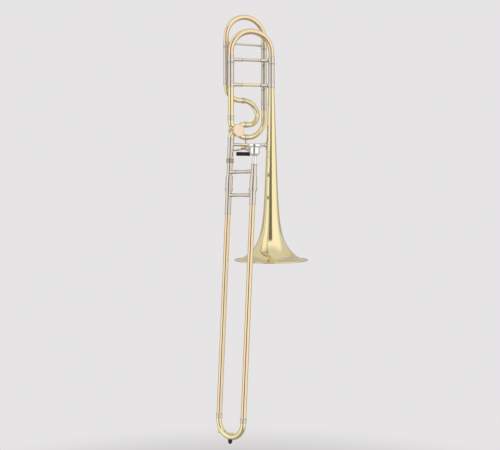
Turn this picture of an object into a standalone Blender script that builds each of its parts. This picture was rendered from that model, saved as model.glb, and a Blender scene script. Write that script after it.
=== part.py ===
"""Tenor trombone with an open-wrap rotary F attachment, built as its soldered and moving pieces.

Metres, +Z up. The origin is the centre of the bell's mouth, on the bell's axis, and the bell opens
downwards. The bell section lies in the XZ plane, with the neck at -X. The hand slide hangs in front,
at -Y, and the F attachment wraps behind, at +Y.
"""
import math

import bmesh
import bpy
from mathutils import Matrix, Vector

# Clearances and walls
SEAT = 0.0003            # gap between pieces that are soldered, pressed or screwed together
RUNNING = 0.0004         # gap between tubes that slide in one another
WALL = 0.0006            # wall of the tubes and of the bell
FERRULE_WALL = 0.0007    # wall of the rings that cover a joint of two tubes
SOCKET_DEPTH = 0.0125    # of a sleeve or ring over the tube that it is soldered to
END_ROOM = 0.0005        # left beyond that tube's end

# Bell
BELL_RADIUS = 0.108      # an 8.5 inch bell
BELL_LENGTH = 0.511
SLEEVE_BASE = BELL_LENGTH + END_ROOM - SOCKET_DEPTH   # height of the outer sleeves' lower ends
STEM_BASE = SLEEVE_BASE - 0.001   # above this height the bell's end is straight, for its sleeve
STEM_RADIUS = 0.0086     # at the bell's narrow end
STEM_TAPER = 0.0355      # radius gained for each metre towards the mouth
FLARE_LENGTH = 0.040     # in which the flare falls to 1/e
LIP_RISE = 0.015         # last quick spread at the mouth
LIP_LENGTH = 0.006
BEAD_RADIUS = 0.00175    # wire rolled into the rim

# Main tuning slide
BOW_SPAN = 0.119         # between the neck's axis and the bell's
LEG_RADIUS = 0.0081
BOW_RADIUS = 0.0083
SLEEVE_LENGTH = 0.070
SLEEVE_FERRULE = 0.019
SLEEVE_RING = 0.003
LEG_INSERT = 0.046       # of each inner leg in its sleeve
BOW_FERRULE = 0.020
BOW_SOCKET = 0.010
BOW_STRAIGHT = 0.0105    # of the bow above its ferrules
BOW_BRACE_DROP = 0.0115  # below the top of the ferrules

# Neck and rotary valve
NECK_RADIUS = 0.0085
NECK_FERRULE = 0.0145
NECK_JOINT = 0.03575     # above the valve's centre, where neck and knuckle meet
VALVE_HEIGHT = 0.376
VALVE_ANGLE = math.radians(20.5)   # of the port plane, from the bell's plane
NECK_OFFSET = 0.0165     # from the valve's centre to the neck's axis
KNUCKLE_END = 0.026      # below the valve's centre, where the slide receiver starts
ROTOR_RADIUS = 0.0146
ROTOR_LENGTH = 0.023
ROTOR_SHAFT = 0.003
PASSAGE_RADIUS = 0.006
CASING_RADIUS = 0.017
CASING_BORE = 0.015
BEARING_RADIUS = 0.0153
BEARING_THICKNESS = 0.003
CAP_RADIUS = 0.01825
CAP_THICKNESS = 0.0016
CAP_SKIRT = 0.0035
PORT_BEND_RADIUS = 0.0137
F_PORT_BEND_RADIUS = 0.0188

# Stop arm on the rotor's shaft
STOP_ARM_THICKNESS = 0.003
STOP_HUB_RADIUS = 0.0055
STOP_PIN_REACH = 0.008
STOP_PIN_RADIUS = 0.0015
STOP_TOOTH_REACH = 0.013
STOP_TOOTH_WIDTH = 0.004
BUMPER_CIRCLE = 0.011
BUMPER_RADIUS = 0.002
ROTOR_TURN = math.radians(90)

# F attachment
F_RADIUS = 0.0073
F_LEG_RADIUS = 0.0070
F_PORT_LEVEL = 0.018     # of the F knuckles above and below the valve's centre
F_FERRULE_START = 0.028  # from the valve's centre, along the port plane
F_FERRULE_LENGTH = 0.012
F_LOOP_RADIUS = 0.0376
F_LOOP_SET_BACK = 0.0216 # of the loop's upper run behind its lower one
F_LOOP_START = 0.042
F_LOOP_JOINT = 0.0045    # of the loop's upper joint past its lower one, along the port plane
F_LOOP_FERRULE = 0.010
F_RETURN_BEND = 0.042
F_LEFT_OFFSET = -0.019   # of the left leg, along the port plane
F_RIGHT_OFFSET = 0.0968
F_LOWER_BEND = 0.056
F_SLEEVE_RISE = 0.241    # of the F sleeves' tops above the valve's centre
F_SLEEVE_RIGHT_LENGTH = 0.179
F_BOW_FERRULE = 0.015
F_BOW_STRAIGHT = 0.0136
F_LEG_INSERT = 0.060
F_BRACE_DROP = 0.006
F_BRACE_RADIUS = 0.00265
F_BRACE_SOCKET = 0.012

# Braces
BRACE_RADIUS = 0.0042
BRACE_SOCKET_RADIUS = 0.0050
BRACE_SOCKET_LENGTH = 0.024
BELL_BRACE_DROP = 0.041   # below the valve's centre
BELL_BRACE_HEIGHT = VALVE_HEIGHT - BELL_BRACE_DROP
LOWER_BRACE_RISE = 0.0075 # above the lower ends of the outer sleeves
LOWER_BRACE_HEIGHT = SLEEVE_BASE + LOWER_BRACE_RISE
BELL_SOCKET_LENGTH = 0.012
FLANGE_HEIGHT = 0.026
FLANGE_WIDTH = 0.011
FLANGE_THICKNESS = 0.0015
F_STRUT_RADIUS = 0.003
F_STRUT_INSET = 0.020     # of the strut's root on the brace, from the bell's axis
F_POST_RADIUS = 0.0022    # of the post from the bell brace to the lower F ferrule
F_POST_FOOT_RADIUS = 0.0034
F_POST_FOOT_HEIGHT = 0.0080
F_POST_SHIFT = 0.0038     # of its foot from under the ferrule, towards the neck

# Hand slide: lengths run down the slide's own axis from the valve's lower knuckle
SLIDE_TILT = math.radians(3.03)    # of the slide's axis outwards, away from the bell's
SLIDE_LEAN = math.radians(2.7)     # of the slide's axis forwards, so that it clears the bell's rim
SLIDE_TURN = math.radians(-51.1)   # of the slide's plane from the bell's
SLIDE_SPAN = 0.089                 # between the slide's two legs
RECEIVER_RADIUS = 0.0090
RECEIVER_LENGTH = 0.060
RECEIVER_CUP = 0.005               # of the receiver over the knuckle
TENON_RADIUS = 0.0077
TENON_DEPTH = 0.035                # of the tenon in the receiver
TENON_FLANGE = 0.0034
UPPER_TUBE_RADIUS = 0.0082
LOCK_NUT_RADIUS = 0.0106
LOCK_NUT_LENGTH = 0.013
LOCK_NUT_COVER = 0.005             # of the nut over the receiver's thread
INNER_BRACE_DROP = 0.0937
INNER_BRACE_RADIUS = 0.0050
BARREL_TOP = 0.105
BARREL_LENGTH = 0.043
BARREL_RADIUS = 0.0105
BARREL_SEAT = 0.007                # of the upper tube in the barrel
BARREL_RING_RADIUS = 0.0116
BARREL_RING_LENGTH = 0.008
INNER_RADIUS = 0.00685
STOCKING_RADIUS = 0.0070
STOCKING_LENGTH = 0.120
INNER_SOCKET = 0.012               # of the inner tube in the upper tube
OUTER_RADIUS = 0.0079
OUTER_WALL = 0.0005
OVERSLEEVE_WALL = 0.00045
OVERSLEEVE_TOP = 0.125
OVERSLEEVE_NECK_LENGTH = 0.0907
OVERSLEEVE_MOUTHPIECE_LENGTH = 0.0627
OUTER_BRACE_DROP = 0.1598
OUTER_BRACE_RADIUS = 0.0047
CROOK_JOINT = 0.7893
CROOK_FERRULE = 0.012
CROOK_RADIUS = 0.0080
CROOK_STRAIGHT = 0.0084
INNER_TUBE_END = 0.7795
BUMPER_LENGTH = 0.0110
CROOK_BUMPER_RADIUS = 0.0060
BUMPER_TIP_RADIUS = 0.0030

# Slide lock ring on the mouthpiece side
LOCK_RING_LENGTH = 0.0085
LOCK_RING_WALL = 0.0011
LOCK_FINGER_LENGTH = 0.010
LOCK_FINGER_WIDTH = 0.004
LOCK_FINGER_THICKNESS = 0.0014
LOCK_FINGER_ANGLE = math.radians(225)

# Mouthpiece and its receiver
MOUTHPIECE_RECEIVER_TOP = 0.0725
MOUTHPIECE_COLLAR_RADIUS = 0.00935
MOUTHPIECE_RIM_TOP = 0.0175
MOUTHPIECE_RIM_RADIUS = 0.0193
MOUTHPIECE_CUP_RADIUS = 0.0142
MOUTHPIECE_CUP_LENGTH = 0.0305
SHANK_RADIUS = 0.0057
SHANK_TAPER = 0.0005
SHANK_INSERT = 0.025
THROAT_RADIUS = 0.0033

# Thumb trigger under the bell brace
TRIGGER_OFFSET = 0.043             # of the pivot's middle from the neck's axis
TRIGGER_DROP = 0.0105              # of the pivot below the bell brace
TRIGGER_HUB_RADIUS = 0.0034
TRIGGER_HUB_LENGTH = 0.020
TRIGGER_ROD_RADIUS = 0.00225
ARM_BACK = 0.010                   # of the rear arm, before it turns to the link
ARM_BEND = 0.005
CRANK_FORWARD = 0.0078             # of the crank in front of the pivot, before it slants down
CRANK_RISE = 0.002
CRANK_FOOT = 0.0052                # of the slant's lower end above the grip's axis
CRANK_BEND = 0.003
CRANK_GAP = 0.001                  # of the grip's end from the bend
PIVOT_RADIUS = 0.0015
PIVOT_HEAD_RADIUS = 0.0028
PIVOT_HEAD_HEIGHT = 0.0015
PIVOT_TAIL = 0.0008
LUG_THICKNESS = 0.0022
LUG_RADIUS = 0.0040
GRIP_LENGTH = 0.0405
GRIP_RADIUS = 0.0057
GRIP_DROP = 0.016                  # below the pivot
GRIP_FORWARD = 0.010
GRIP_END_OFFSET = 0.0542           # of the grip's right end from the neck's axis
LINK_ROD_RADIUS = 0.0014
LINK_EYE_RADIUS = 0.0034
LINK_THICKNESS = 0.003
SPRING_TURNS = 4
SPRING_PITCH = 0.0013
SPRING_WIRE = 0.0004
SPRING_RADIUS = 0.0044
SPRING_LEGS = (0.007, 0.006)

# Water key behind the slide's crook
NIPPLE_ANGLE = math.radians(-60)
NIPPLE_RADIUS = 0.0036
NIPPLE_BORE = 0.0020
NIPPLE_REACH = 0.0105
PAD_RADIUS = 0.0046
PAD_THICKNESS = 0.0026
PAD_CUP_THICKNESS = 0.0016
KEY_PIVOT_ASIDE = 0.0045            # from the lowest point of the crook, towards the neck leg
KEY_PIVOT_BACK = 0.0145
KEY_PIVOT_RISE = 0.0025            # above the axis of the crook's tube at its lowest point
KEY_HUB_RADIUS = 0.0030
KEY_HUB_LENGTH = 0.0074
KEY_PIN_RADIUS = 0.0012
KEY_ARM_RADIUS = 0.0018
KEY_POST_THICKNESS = 0.0020
KEY_TOUCH_X = -0.009
KEY_TOUCH_RADIUS = 0.0050
KEY_SPRING_TURNS = 3
KEY_SPRING_PITCH = 0.00095
KEY_SPRING_WIRE = 0.0003

# Facets
SIDES = 16
ROD_SIDES = 12
VALVE_SIDES = 32
BELL_SIDES = 36
BEND_STEP = 18           # degrees of bend between two rings of a bent tube
MERGE = 0.00001

X, Y, Z = Vector((1, 0, 0)), Vector((0, 1, 0)), Vector((0, 0, 1))

# Base colour, roughness and metallic value of each finish
FINISHES = {
    "yellow_brass": ((0.73, 0.57, 0.24), 0.20, 1.0),
    "gold_brass": ((0.75, 0.47, 0.22), 0.20, 1.0),
    "nickel_silver": ((0.72, 0.68, 0.58), 0.22, 1.0),
    "silver_plate": ((0.88, 0.87, 0.84), 0.15, 1.0),
    "rose_brass": ((0.86, 0.58, 0.42), 0.25, 1.0),
    "chrome_plate": ((0.80, 0.81, 0.82), 0.12, 1.0),
    "spring_steel": ((0.55, 0.55, 0.56), 0.30, 1.0),
    "black_rubber": ((0.02, 0.02, 0.02), 0.65, 0.0),
    "cork": ((0.48, 0.32, 0.18), 0.85, 0.0),
    "dark_wood": ((0.05, 0.025, 0.018), 0.40, 0.0),
}


def facet_clear(radius, sides=SIDES):
    """The radius of a faceted bore whose flats stay clear of a round piece of this radius."""
    return radius / math.cos(math.pi / sides)


# Objects, empties and modifiers

def clear_scene():
    for obj in list(bpy.data.objects):
        bpy.data.objects.remove(obj)


def new_collection(name):
    collection = bpy.data.collections.new(name)
    bpy.context.scene.collection.children.link(collection)
    return collection


def finish_of(name):
    material = bpy.data.materials.get(name)
    if material:
        return material
    colour, roughness, metallic = FINISHES[name]
    material = bpy.data.materials.new(name)
    material.use_nodes = True
    shader = material.node_tree.nodes["Principled BSDF"]
    shader.inputs["Base Color"].default_value = (*colour, 1)
    shader.inputs["Roughness"].default_value = roughness
    shader.inputs["Metallic"].default_value = metallic
    material.diffuse_color = (*colour, 1)
    return material


def place(obj, finish, parent, at, axis):
    """Puts an object in its collection. No finish makes it a cutter or another helper."""
    if finish:
        obj.data.materials.append(finish_of(finish))
        parts.objects.link(obj)
    else:
        helpers.objects.link(obj)
        obj.hide_render = True
        obj.display_type = "WIRE"
    obj.parent = parent
    obj.location = at
    obj.rotation_mode = "QUATERNION"
    obj.rotation_quaternion = Z.rotation_difference(Vector(axis))
    return obj


def axis_empty(name, matrix, parent=None):
    """An empty that carries pieces, its Z along the axis that they share."""
    empty = bpy.data.objects.new(name, None)
    helpers.objects.link(empty)
    empty.empty_display_size = 0.02
    empty.parent = parent
    empty.matrix_local = matrix
    return empty


def turned(name, outline, finish=None, parent=None, at=(0, 0, 0), axis=Z, sides=SIDES):
    """Turns an outline of (radius, height) points, outer side first and downwards, about its Z axis."""
    count = len(outline)
    edges = [(i, i + 1) for i in range(count - 1)]
    if outline[0][0] > 0:
        edges.append((count - 1, 0))
    mesh = bpy.data.meshes.new(name)
    mesh.from_pydata([(radius, 0, height) for radius, height in outline], edges, [])
    obj = place(bpy.data.objects.new(name, mesh), finish, parent, at, axis)
    screw = obj.modifiers.new("turn", "SCREW")
    screw.steps = screw.render_steps = sides
    screw.use_merge_vertices = True
    screw.merge_threshold = MERGE
    return obj


def rod(name, radius, bottom, top, finish=None, parent=None, at=(0, 0, 0), axis=Z, sides=ROD_SIDES):
    """A plain round bar from bottom to top along its Z axis."""
    outline = [(0, top), (radius, top), (radius, bottom), (0, bottom)]
    return turned(name, outline, finish, parent, at, axis, sides)


def ring(name, outer, inner, bottom, top, finish=None, parent=None, at=(0, 0, 0), axis=Z, sides=SIDES):
    """A plain round tube from bottom to top along its Z axis."""
    outline = [(outer, top), (outer, bottom), (inner, bottom), (inner, top)]
    return turned(name, outline, finish, parent, at, axis, sides)


def block(name, size, finish=None, parent=None, at=(0, 0, 0), axis=Z):
    """A box of this size about its centre."""
    mesh = bpy.data.meshes.new(name)
    shape = bmesh.new()
    bmesh.ops.create_cube(shape, size=1)
    bmesh.ops.scale(shape, vec=size, verts=shape.verts)
    shape.to_mesh(mesh)
    shape.free()
    return place(bpy.data.objects.new(name, mesh), finish, parent, at, axis)


def as_mesh(curve_object, finish):
    """Makes a mesh object of a curve, with its caps or walls welded, so that Booleans can take it."""
    bpy.context.view_layer.update()
    graph = bpy.context.evaluated_depsgraph_get()
    mesh = bpy.data.meshes.new_from_object(curve_object.evaluated_get(graph))
    shape = bmesh.new()
    shape.from_mesh(mesh)
    bmesh.ops.remove_doubles(shape, verts=shape.verts, dist=MERGE / 10)
    shape.to_mesh(mesh)
    shape.free()
    name, parent = curve_object.name, curve_object.parent
    at = curve_object.location.copy()
    bpy.data.objects.remove(curve_object)
    mesh.materials.clear()
    obj = place(bpy.data.objects.new(name, mesh), finish, parent, at, Z)
    obj.name = name
    return obj


def bent(name, points, radius, wall=None, finish=None, parent=None, sides=SIDES, mesh=False):
    """A bar, or with a wall a tube open at both ends, along a line of points."""
    curve = bpy.data.curves.new(name, "CURVE")
    curve.dimensions = "3D"
    curve.bevel_depth = radius
    curve.bevel_resolution = (sides - 4) // 2
    curve.use_fill_caps = wall is None
    spline = curve.splines.new("POLY")
    spline.points.add(len(points) - 1)
    for point, place_of_it in zip(spline.points, points):
        point.co = (*place_of_it, 1)
    obj = place(bpy.data.objects.new(name, curve), finish, parent, (0, 0, 0), Z)
    if wall:
        shell = obj.modifiers.new("wall", "SOLIDIFY")
        shell.thickness = wall
        shell.offset = -1
    return as_mesh(obj, finish) if mesh or not finish else obj


def combine(obj, others, operation):
    for other in others:
        step = obj.modifiers.new(operation.lower() + "_" + other.name, "BOOLEAN")
        step.operation = operation
        step.solver = "EXACT"
        step.object = other
    return obj


def join(obj, *others):
    return combine(obj, others, "UNION")


def cut(obj, *others):
    return combine(obj, others, "DIFFERENCE")


# Centrelines

class Route:
    """A centreline of straight runs and round bends, gathered as points."""

    def __init__(self, start, heading):
        self.points = [Vector(start)]
        self.heading = Vector(heading).normalized()

    def straight(self, length):
        self.points.append(self.points[-1] + self.heading * length)
        return self

    def bend(self, radius, degrees, toward):
        """Turns by degrees, to the side that toward points to."""
        start, side, ahead = self.points[-1], Vector(toward).normalized(), self.heading
        steps = max(2, round(degrees / BEND_STEP))
        for step in range(1, steps + 1):
            angle = math.radians(degrees) * step / steps
            self.points.append(
                start + ahead * radius * math.sin(angle) + side * radius * (1 - math.cos(angle))
            )
        turn = math.radians(degrees)
        self.heading = ahead * math.cos(turn) + side * math.sin(turn)
        return self


def rounded(corners, radius, steps=3):
    """A line through these corners, each turned by an arc of this radius."""
    corners = [Vector(corner) for corner in corners]
    points = [corners[0]]
    for before, corner, after in zip(corners, corners[1:], corners[2:]):
        into, out = (corner - before).normalized(), (after - corner).normalized()
        turn = into.angle(out)
        reach = radius * math.tan(turn / 2)
        centre = corner + (out - into).normalized() * radius / math.cos(turn / 2)
        start = corner - into * reach - centre
        spin = into.cross(out)
        for step in range(steps + 1):
            points.append(centre + Matrix.Rotation(turn * step / steps, 3, spin) @ start)
    points.append(corners[-1])
    return points


def torsion_spring(centre, along, across, radius, pitch, turns, legs):
    """Points of a coil about along, centred on centre, that ends in two straight legs."""
    along, across = Vector(along).normalized(), Vector(across).normalized()
    side = along.cross(across)
    per_turn = 8
    count = turns * per_turn
    coil = []
    for step in range(count + 1):
        angle = math.tau * step / per_turn
        climb = pitch * (step / per_turn - turns / 2)
        coil.append(
            Vector(centre) + along * climb
            + (across * math.cos(angle) + side * math.sin(angle)) * radius
        )
    first, last = legs
    return [coil[0] - side * first] + coil + [coil[-1] + side * last]


def brace_outline(length, rod_radius, socket_radius, socket_length):
    """A rod from 0 to length with a socket at each end, which flares a little where it is soldered."""
    flare = 1.12 * socket_radius
    lip = 0.0012
    near = [(rod_radius, socket_length), (socket_radius, socket_length - lip)]
    near += [(socket_radius, socket_radius * 2.2), (flare, socket_radius * 1.8), (flare, 0), (0, 0)]
    far = [(radius, length - height) for radius, height in reversed(near)]
    return far + near


def brace(name, start, end, rod_radius, socket_radius, socket_length, finish, parent):
    """A rod with sockets between two places on the axes of the tubes that it joins."""
    start, end = Vector(start), Vector(end)
    outline = brace_outline((end - start).length, rod_radius, socket_radius, socket_length)
    return turned(name, outline, finish, parent, start, end - start, ROD_SIDES)


def seat_on(obj, tube_radius, at, parent=None, axis=Z, reach=0.03):
    """Cuts a saddle in a piece, so that it fits a tube of this radius."""
    radius = facet_clear(tube_radius + SEAT, 24)
    cutter = rod("seat_" + obj.name, radius, -reach, reach, None, parent, at, axis, 24)
    return cut(obj, cutter)


# Bell

def bell_radius(height):
    """A straight end for the sleeve, then a taper, plus a flare and a lip that die away from the mouth."""
    taper = STEM_RADIUS + STEM_TAPER * max(0, STEM_BASE - height)
    at_mouth = STEM_RADIUS + STEM_TAPER * STEM_BASE
    flare = BELL_RADIUS - at_mouth - LIP_RISE
    return taper + flare * math.exp(-height / FLARE_LENGTH) + LIP_RISE * math.exp(-height / LIP_LENGTH)


def bell_skin(height, inwards):
    """A point of the bell's wall, this far inside its outer skin."""
    step = 0.00001
    slope = (bell_radius(height + step) - bell_radius(height - step)) / (2 * step)
    length = math.hypot(1, slope)
    return bell_radius(height) - inwards / length, height + slope * inwards / length


def bell():
    levels = 16
    lowest = 0.75 * BEAD_RADIUS
    heights = [lowest + (STEM_BASE - lowest) * (1 - i / levels) ** 2.6 for i in range(levels + 1)]
    heights.insert(0, BELL_LENGTH)
    outer = [(bell_radius(height), height) for height in heights]
    centre = BELL_RADIUS - BEAD_RADIUS
    bead = [
        (centre + BEAD_RADIUS * math.cos(angle), BEAD_RADIUS + BEAD_RADIUS * math.sin(angle))
        for angle in [math.radians(150 - 40 * i) for i in range(7)]
    ]
    inner = [bell_skin(height, WALL) for height in reversed(heights)]
    inner[-1] = (bell_radius(BELL_LENGTH) - WALL, BELL_LENGTH)
    turned("bell", outer + bead + inner, "yellow_brass", sides=BELL_SIDES)


# Main tuning slide and its sleeves

def sleeve(name, finish, parent, at, base, length, leg_radius, stem_radius):
    """An outer slide tube: a ferrule over the tube below, and a ring at its mouth."""
    bore = facet_clear(leg_radius + RUNNING)
    outer = bore + WALL
    socket = facet_clear(stem_radius + SEAT)
    ferrule = max(socket, bore) + FERRULE_WALL
    top = base + length
    outline = [
        (outer + 0.0006, top), (outer + 0.0006, top - SLEEVE_RING), (outer, top - SLEEVE_RING - 0.0008),
        (outer, base + SLEEVE_FERRULE + 0.0006), (ferrule, base + SLEEVE_FERRULE), (ferrule, base),
        (socket, base), (socket, base + SOCKET_DEPTH), (bore, base + SOCKET_DEPTH), (bore, top),
    ]
    return turned(name, outline, finish, parent, at)


def bow_leg(name, finish, parent, at, base, leg_radius, bow_radius, ferrule_length, insert):
    """An inner slide leg with the ferrule at its top that takes the bow."""
    socket = facet_clear(bow_radius + SEAT)
    ferrule = socket + FERRULE_WALL
    top = base + ferrule_length
    bottom = base - insert
    outline = [
        (ferrule, top), (ferrule, base), (leg_radius, base), (leg_radius, bottom),
        (leg_radius - WALL, bottom), (leg_radius - WALL, top - BOW_SOCKET),
        (socket, top - BOW_SOCKET), (socket, top),
    ]
    return turned(name, outline, finish, parent, at)


def tuning_slide():
    slide = axis_empty("tuning_slide_axis", Matrix.Translation((0, 0, 0)))
    sides = (("neck", -BOW_SPAN, NECK_RADIUS), ("bell", 0, STEM_RADIUS))
    base = SLEEVE_BASE + SLEEVE_LENGTH + SEAT
    for side, x, stem in sides:
        sleeve(f"tuning_sleeve_{side}", "nickel_silver", None, (x, 0, 0),
               SLEEVE_BASE, SLEEVE_LENGTH, LEG_RADIUS, stem)
        bow_leg(f"tuning_leg_{side}", "nickel_silver", slide, (x, 0, 0),
                base, LEG_RADIUS, BOW_RADIUS, BOW_FERRULE, LEG_INSERT)
    top = base + BOW_FERRULE
    start = (-BOW_SPAN, 0, top - BOW_SOCKET + SEAT)
    run = BOW_SOCKET - SEAT + BOW_STRAIGHT
    route = Route(start, Z).straight(run).bend(BOW_SPAN / 2, 180, X).straight(run)
    bent("tuning_bow", route.points, BOW_RADIUS, WALL, "gold_brass", slide)
    height = top - BOW_BRACE_DROP
    ferrule = facet_clear(BOW_RADIUS + SEAT) + FERRULE_WALL
    stay = brace("tuning_bow_brace", (-BOW_SPAN, 0, height), (0, 0, height), BRACE_RADIUS,
                 BRACE_SOCKET_RADIUS, BRACE_SOCKET_LENGTH + ferrule, "nickel_silver", slide)
    seat_on(stay, ferrule, (-BOW_SPAN, 0, height), slide)
    seat_on(stay, ferrule, (0, 0, height), slide)
    return slide


# Neck and rotary valve

def valve_frame():
    """X along the port plane, Y backwards along the rotor's shaft, Z up, from the valve's centre."""
    turn = Matrix.Rotation(VALVE_ANGLE, 4, "Z")
    centre = Vector((-BOW_SPAN, 0, VALVE_HEIGHT)) + turn @ Vector((NECK_OFFSET, 0, 0))
    return Matrix.Translation(centre) @ turn


def main_knuckle_route(level, end):
    """From inside the casing out along the diagonal, then bent upright onto the neck's axis."""
    out = Vector((-1, 0, level)).normalized()
    drop = PORT_BEND_RADIUS * math.sin(math.radians(45))
    shift = PORT_BEND_RADIUS * (1 - math.cos(math.radians(45)))
    corner = Vector((-NECK_OFFSET + shift, 0, level * (NECK_OFFSET - shift)))
    route = Route(corner - out * 0.006, out).straight(0.006)
    route.bend(PORT_BEND_RADIUS, 45, Vector((1, 0, level)))
    return route.straight(end - (NECK_OFFSET - shift) - drop)


def f_knuckle_route(level):
    """From inside the casing out along the diagonal, then bent level towards the F ferrule."""
    out = Vector((1, 0, level)).normalized()
    rise = F_PORT_BEND_RADIUS * (1 - math.cos(math.radians(45)))
    reach = F_PORT_BEND_RADIUS * math.sin(math.radians(45))
    start = F_PORT_LEVEL - rise
    route = Route(Vector((start, 0, level * start)) - out * 0.006, out).straight(0.006)
    route.bend(F_PORT_BEND_RADIUS, 45, Vector((1, 0, -level)))
    end = F_FERRULE_START + F_FERRULE_LENGTH / 2 - SEAT / 2
    return route.straight(end - start - reach)


def casing_depths():
    """Where the casing's front, bearing seat and back wall lie along the rotor's shaft."""
    half = ROTOR_LENGTH / 2
    seat = -half - SEAT
    front = seat - BEARING_THICKNESS - 2 * SEAT
    inside = half + SEAT
    back = inside + BEARING_THICKNESS
    return front, seat, inside, back


def valve_casing(valve):
    """The casing, its back wall and the four knuckles, soldered as one piece."""
    front, seat, inside, back = casing_depths()
    casing = turned(
        "valve_casing",
        [(0, back), (CASING_RADIUS, back), (CASING_RADIUS, front), (0, front)],
        "yellow_brass", valve, axis=Y, sides=VALVE_SIDES,
    )
    routes = {
        "neck_port": (main_knuckle_route(1, NECK_JOINT - SEAT / 2), NECK_RADIUS),
        "slide_port": (main_knuckle_route(-1, KNUCKLE_END), NECK_RADIUS),
        "f_port_upper": (f_knuckle_route(1), F_RADIUS),
        "f_port_lower": (f_knuckle_route(-1), F_RADIUS),
    }
    knuckles, bores = [], []
    for name, (route, radius) in routes.items():
        knuckles.append(bent(name, route.points, radius, parent=valve))
        points = list(route.points)
        points[0] = Vector((0.0105 * math.copysign(1, points[0].x), 0, 0.0105 * math.copysign(1, points[0].z)))
        points.append(points[-1] + route.heading * 0.002)
        bores.append(bent(name + "_bore", points, radius - WALL, parent=valve))
    chamber = rod("rotor_chamber", CASING_BORE, seat - 0.001, inside, None, valve, axis=Y, sides=VALVE_SIDES)
    counterbore = rod("bearing_seat", BEARING_RADIUS + SEAT, front - 0.001, seat,
                      None, valve, axis=Y, sides=VALVE_SIDES)
    shaft_hole = rod("shaft_hole", facet_clear(ROTOR_SHAFT + SEAT), inside - 0.001, back + 0.001,
                     None, valve, axis=Y)
    join(casing, *knuckles)
    cut(casing, chamber, counterbore, shaft_hole, *bores)


def valve_covers(valve):
    """The front bearing plate, and the cap that screws on over it."""
    front, seat, inside, back = casing_depths()
    hole = facet_clear(ROTOR_SHAFT + SEAT)
    ring("valve_bearing_plate", BEARING_RADIUS, hole, seat - BEARING_THICKNESS - SEAT, seat - SEAT,
         "yellow_brass", valve, axis=Y, sides=VALVE_SIDES)
    inner = facet_clear(CASING_RADIUS, VALVE_SIDES) + SEAT
    face = front - SEAT
    edge = 0.0006
    outline = [
        (inner, face + CAP_SKIRT), (CAP_RADIUS, face + CAP_SKIRT), (CAP_RADIUS, face - CAP_THICKNESS + edge),
        (CAP_RADIUS - edge, face - CAP_THICKNESS), (0, face - CAP_THICKNESS), (0, face), (inner, face),
    ]
    outline = [outline[-2], outline[-1]] + outline[:-2]
    turned("valve_cap", outline, "rose_brass", valve, axis=Y, sides=VALVE_SIDES)


def rotor(valve):
    """The rotor: a plug with two curved passages, and a shaft at each end."""
    front, seat, inside, back = casing_depths()
    half = ROTOR_LENGTH / 2
    shaft_front = seat - BEARING_THICKNESS
    shaft_back = back + SEAT + STOP_ARM_THICKNESS + SEAT
    outline = [
        (0, shaft_back), (ROTOR_SHAFT, shaft_back), (ROTOR_SHAFT, half), (ROTOR_RADIUS, half),
        (ROTOR_RADIUS, -half), (ROTOR_SHAFT, -half), (ROTOR_SHAFT, shaft_front), (0, shaft_front),
    ]
    plug = turned("rotor", outline, "yellow_brass", valve, axis=Y, sides=VALVE_SIDES)
    bend = ROTOR_RADIUS + 0.0029
    centre = bend * math.sqrt(2)
    for side in (-1, 1):
        points = [
            Vector((side * (centre - bend * math.cos(angle)), 0, bend * math.sin(angle)))
            for angle in [math.radians(-54 + 12 * i) for i in range(10)]
        ]
        cut(plug, bent("passage_left" if side < 0 else "passage_right", points, PASSAGE_RADIUS,
                       parent=valve, sides=12))


def at_angle(radius, degrees, depth):
    """A place in the valve's frame, by its angle in the port plane from +X up to +Z."""
    angle = math.radians(degrees)
    return Vector((radius * math.cos(angle), depth, radius * math.sin(angle)))


def stop_arm(valve):
    """The arm that turns the rotor: a pin for the linkage, and a tooth that swings between two bumpers."""
    front, seat, inside, back = casing_depths()
    low, high = back + SEAT, back + SEAT + STOP_ARM_THICKNESS
    arm = rod("stop_arm", STOP_HUB_RADIUS, low, high, "nickel_silver", valve, axis=Y, sides=SIDES)
    middle = (low + high) / 2
    pin_at = at_angle(STOP_PIN_REACH, 225, 0)
    boss = rod("pin_boss", STOP_PIN_RADIUS + 0.0015, low, high, None, valve, pin_at, Y)
    pin = rod("stop_pin", STOP_PIN_RADIUS, low, high + LINK_THICKNESS, None, valve, pin_at, Y)
    tooth = block("stop_tooth", (STOP_TOOTH_WIDTH, STOP_TOOTH_REACH, high - low), None, valve,
                  at_angle(STOP_TOOTH_REACH / 2, 45, middle))
    tooth.rotation_quaternion = Matrix(
        (at_angle(1, 135, 0), at_angle(1, 45, 0), Y)
    ).transposed().to_quaternion()
    hole = rod("stop_arm_hole", facet_clear(ROTOR_SHAFT + SEAT), low - 0.001, high + 0.001, None, valve, axis=Y)
    join(arm, boss, pin, tooth)
    cut(arm, hole)
    tooth_half = math.degrees(math.asin(STOP_TOOTH_WIDTH / 2 / BUMPER_CIRCLE))
    bumper_half = math.degrees(math.asin((BUMPER_RADIUS + SEAT) / BUMPER_CIRCLE))
    spread = tooth_half + bumper_half + 1
    turn = math.degrees(ROTOR_TURN)
    for name, angle in (("valve_bumper_rest", 45 + spread), ("valve_bumper_pressed", 45 - turn - spread)):
        rod(name, BUMPER_RADIUS, low, high, "black_rubber", valve, at_angle(BUMPER_CIRCLE, angle, 0), Y)


def neck():
    x = -BOW_SPAN
    joint = VALVE_HEIGHT + NECK_JOINT
    ring("neck_tube", NECK_RADIUS, NECK_RADIUS - WALL, joint + SEAT / 2, SLEEVE_BASE + SOCKET_DEPTH - SEAT,
         "yellow_brass", at=(x, 0, 0))
    bore = facet_clear(NECK_RADIUS + SEAT)
    ring("neck_ferrule", bore + FERRULE_WALL, bore, joint - NECK_FERRULE / 2, joint + NECK_FERRULE / 2,
         "nickel_silver", at=(x, 0, 0))


# F attachment

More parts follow.
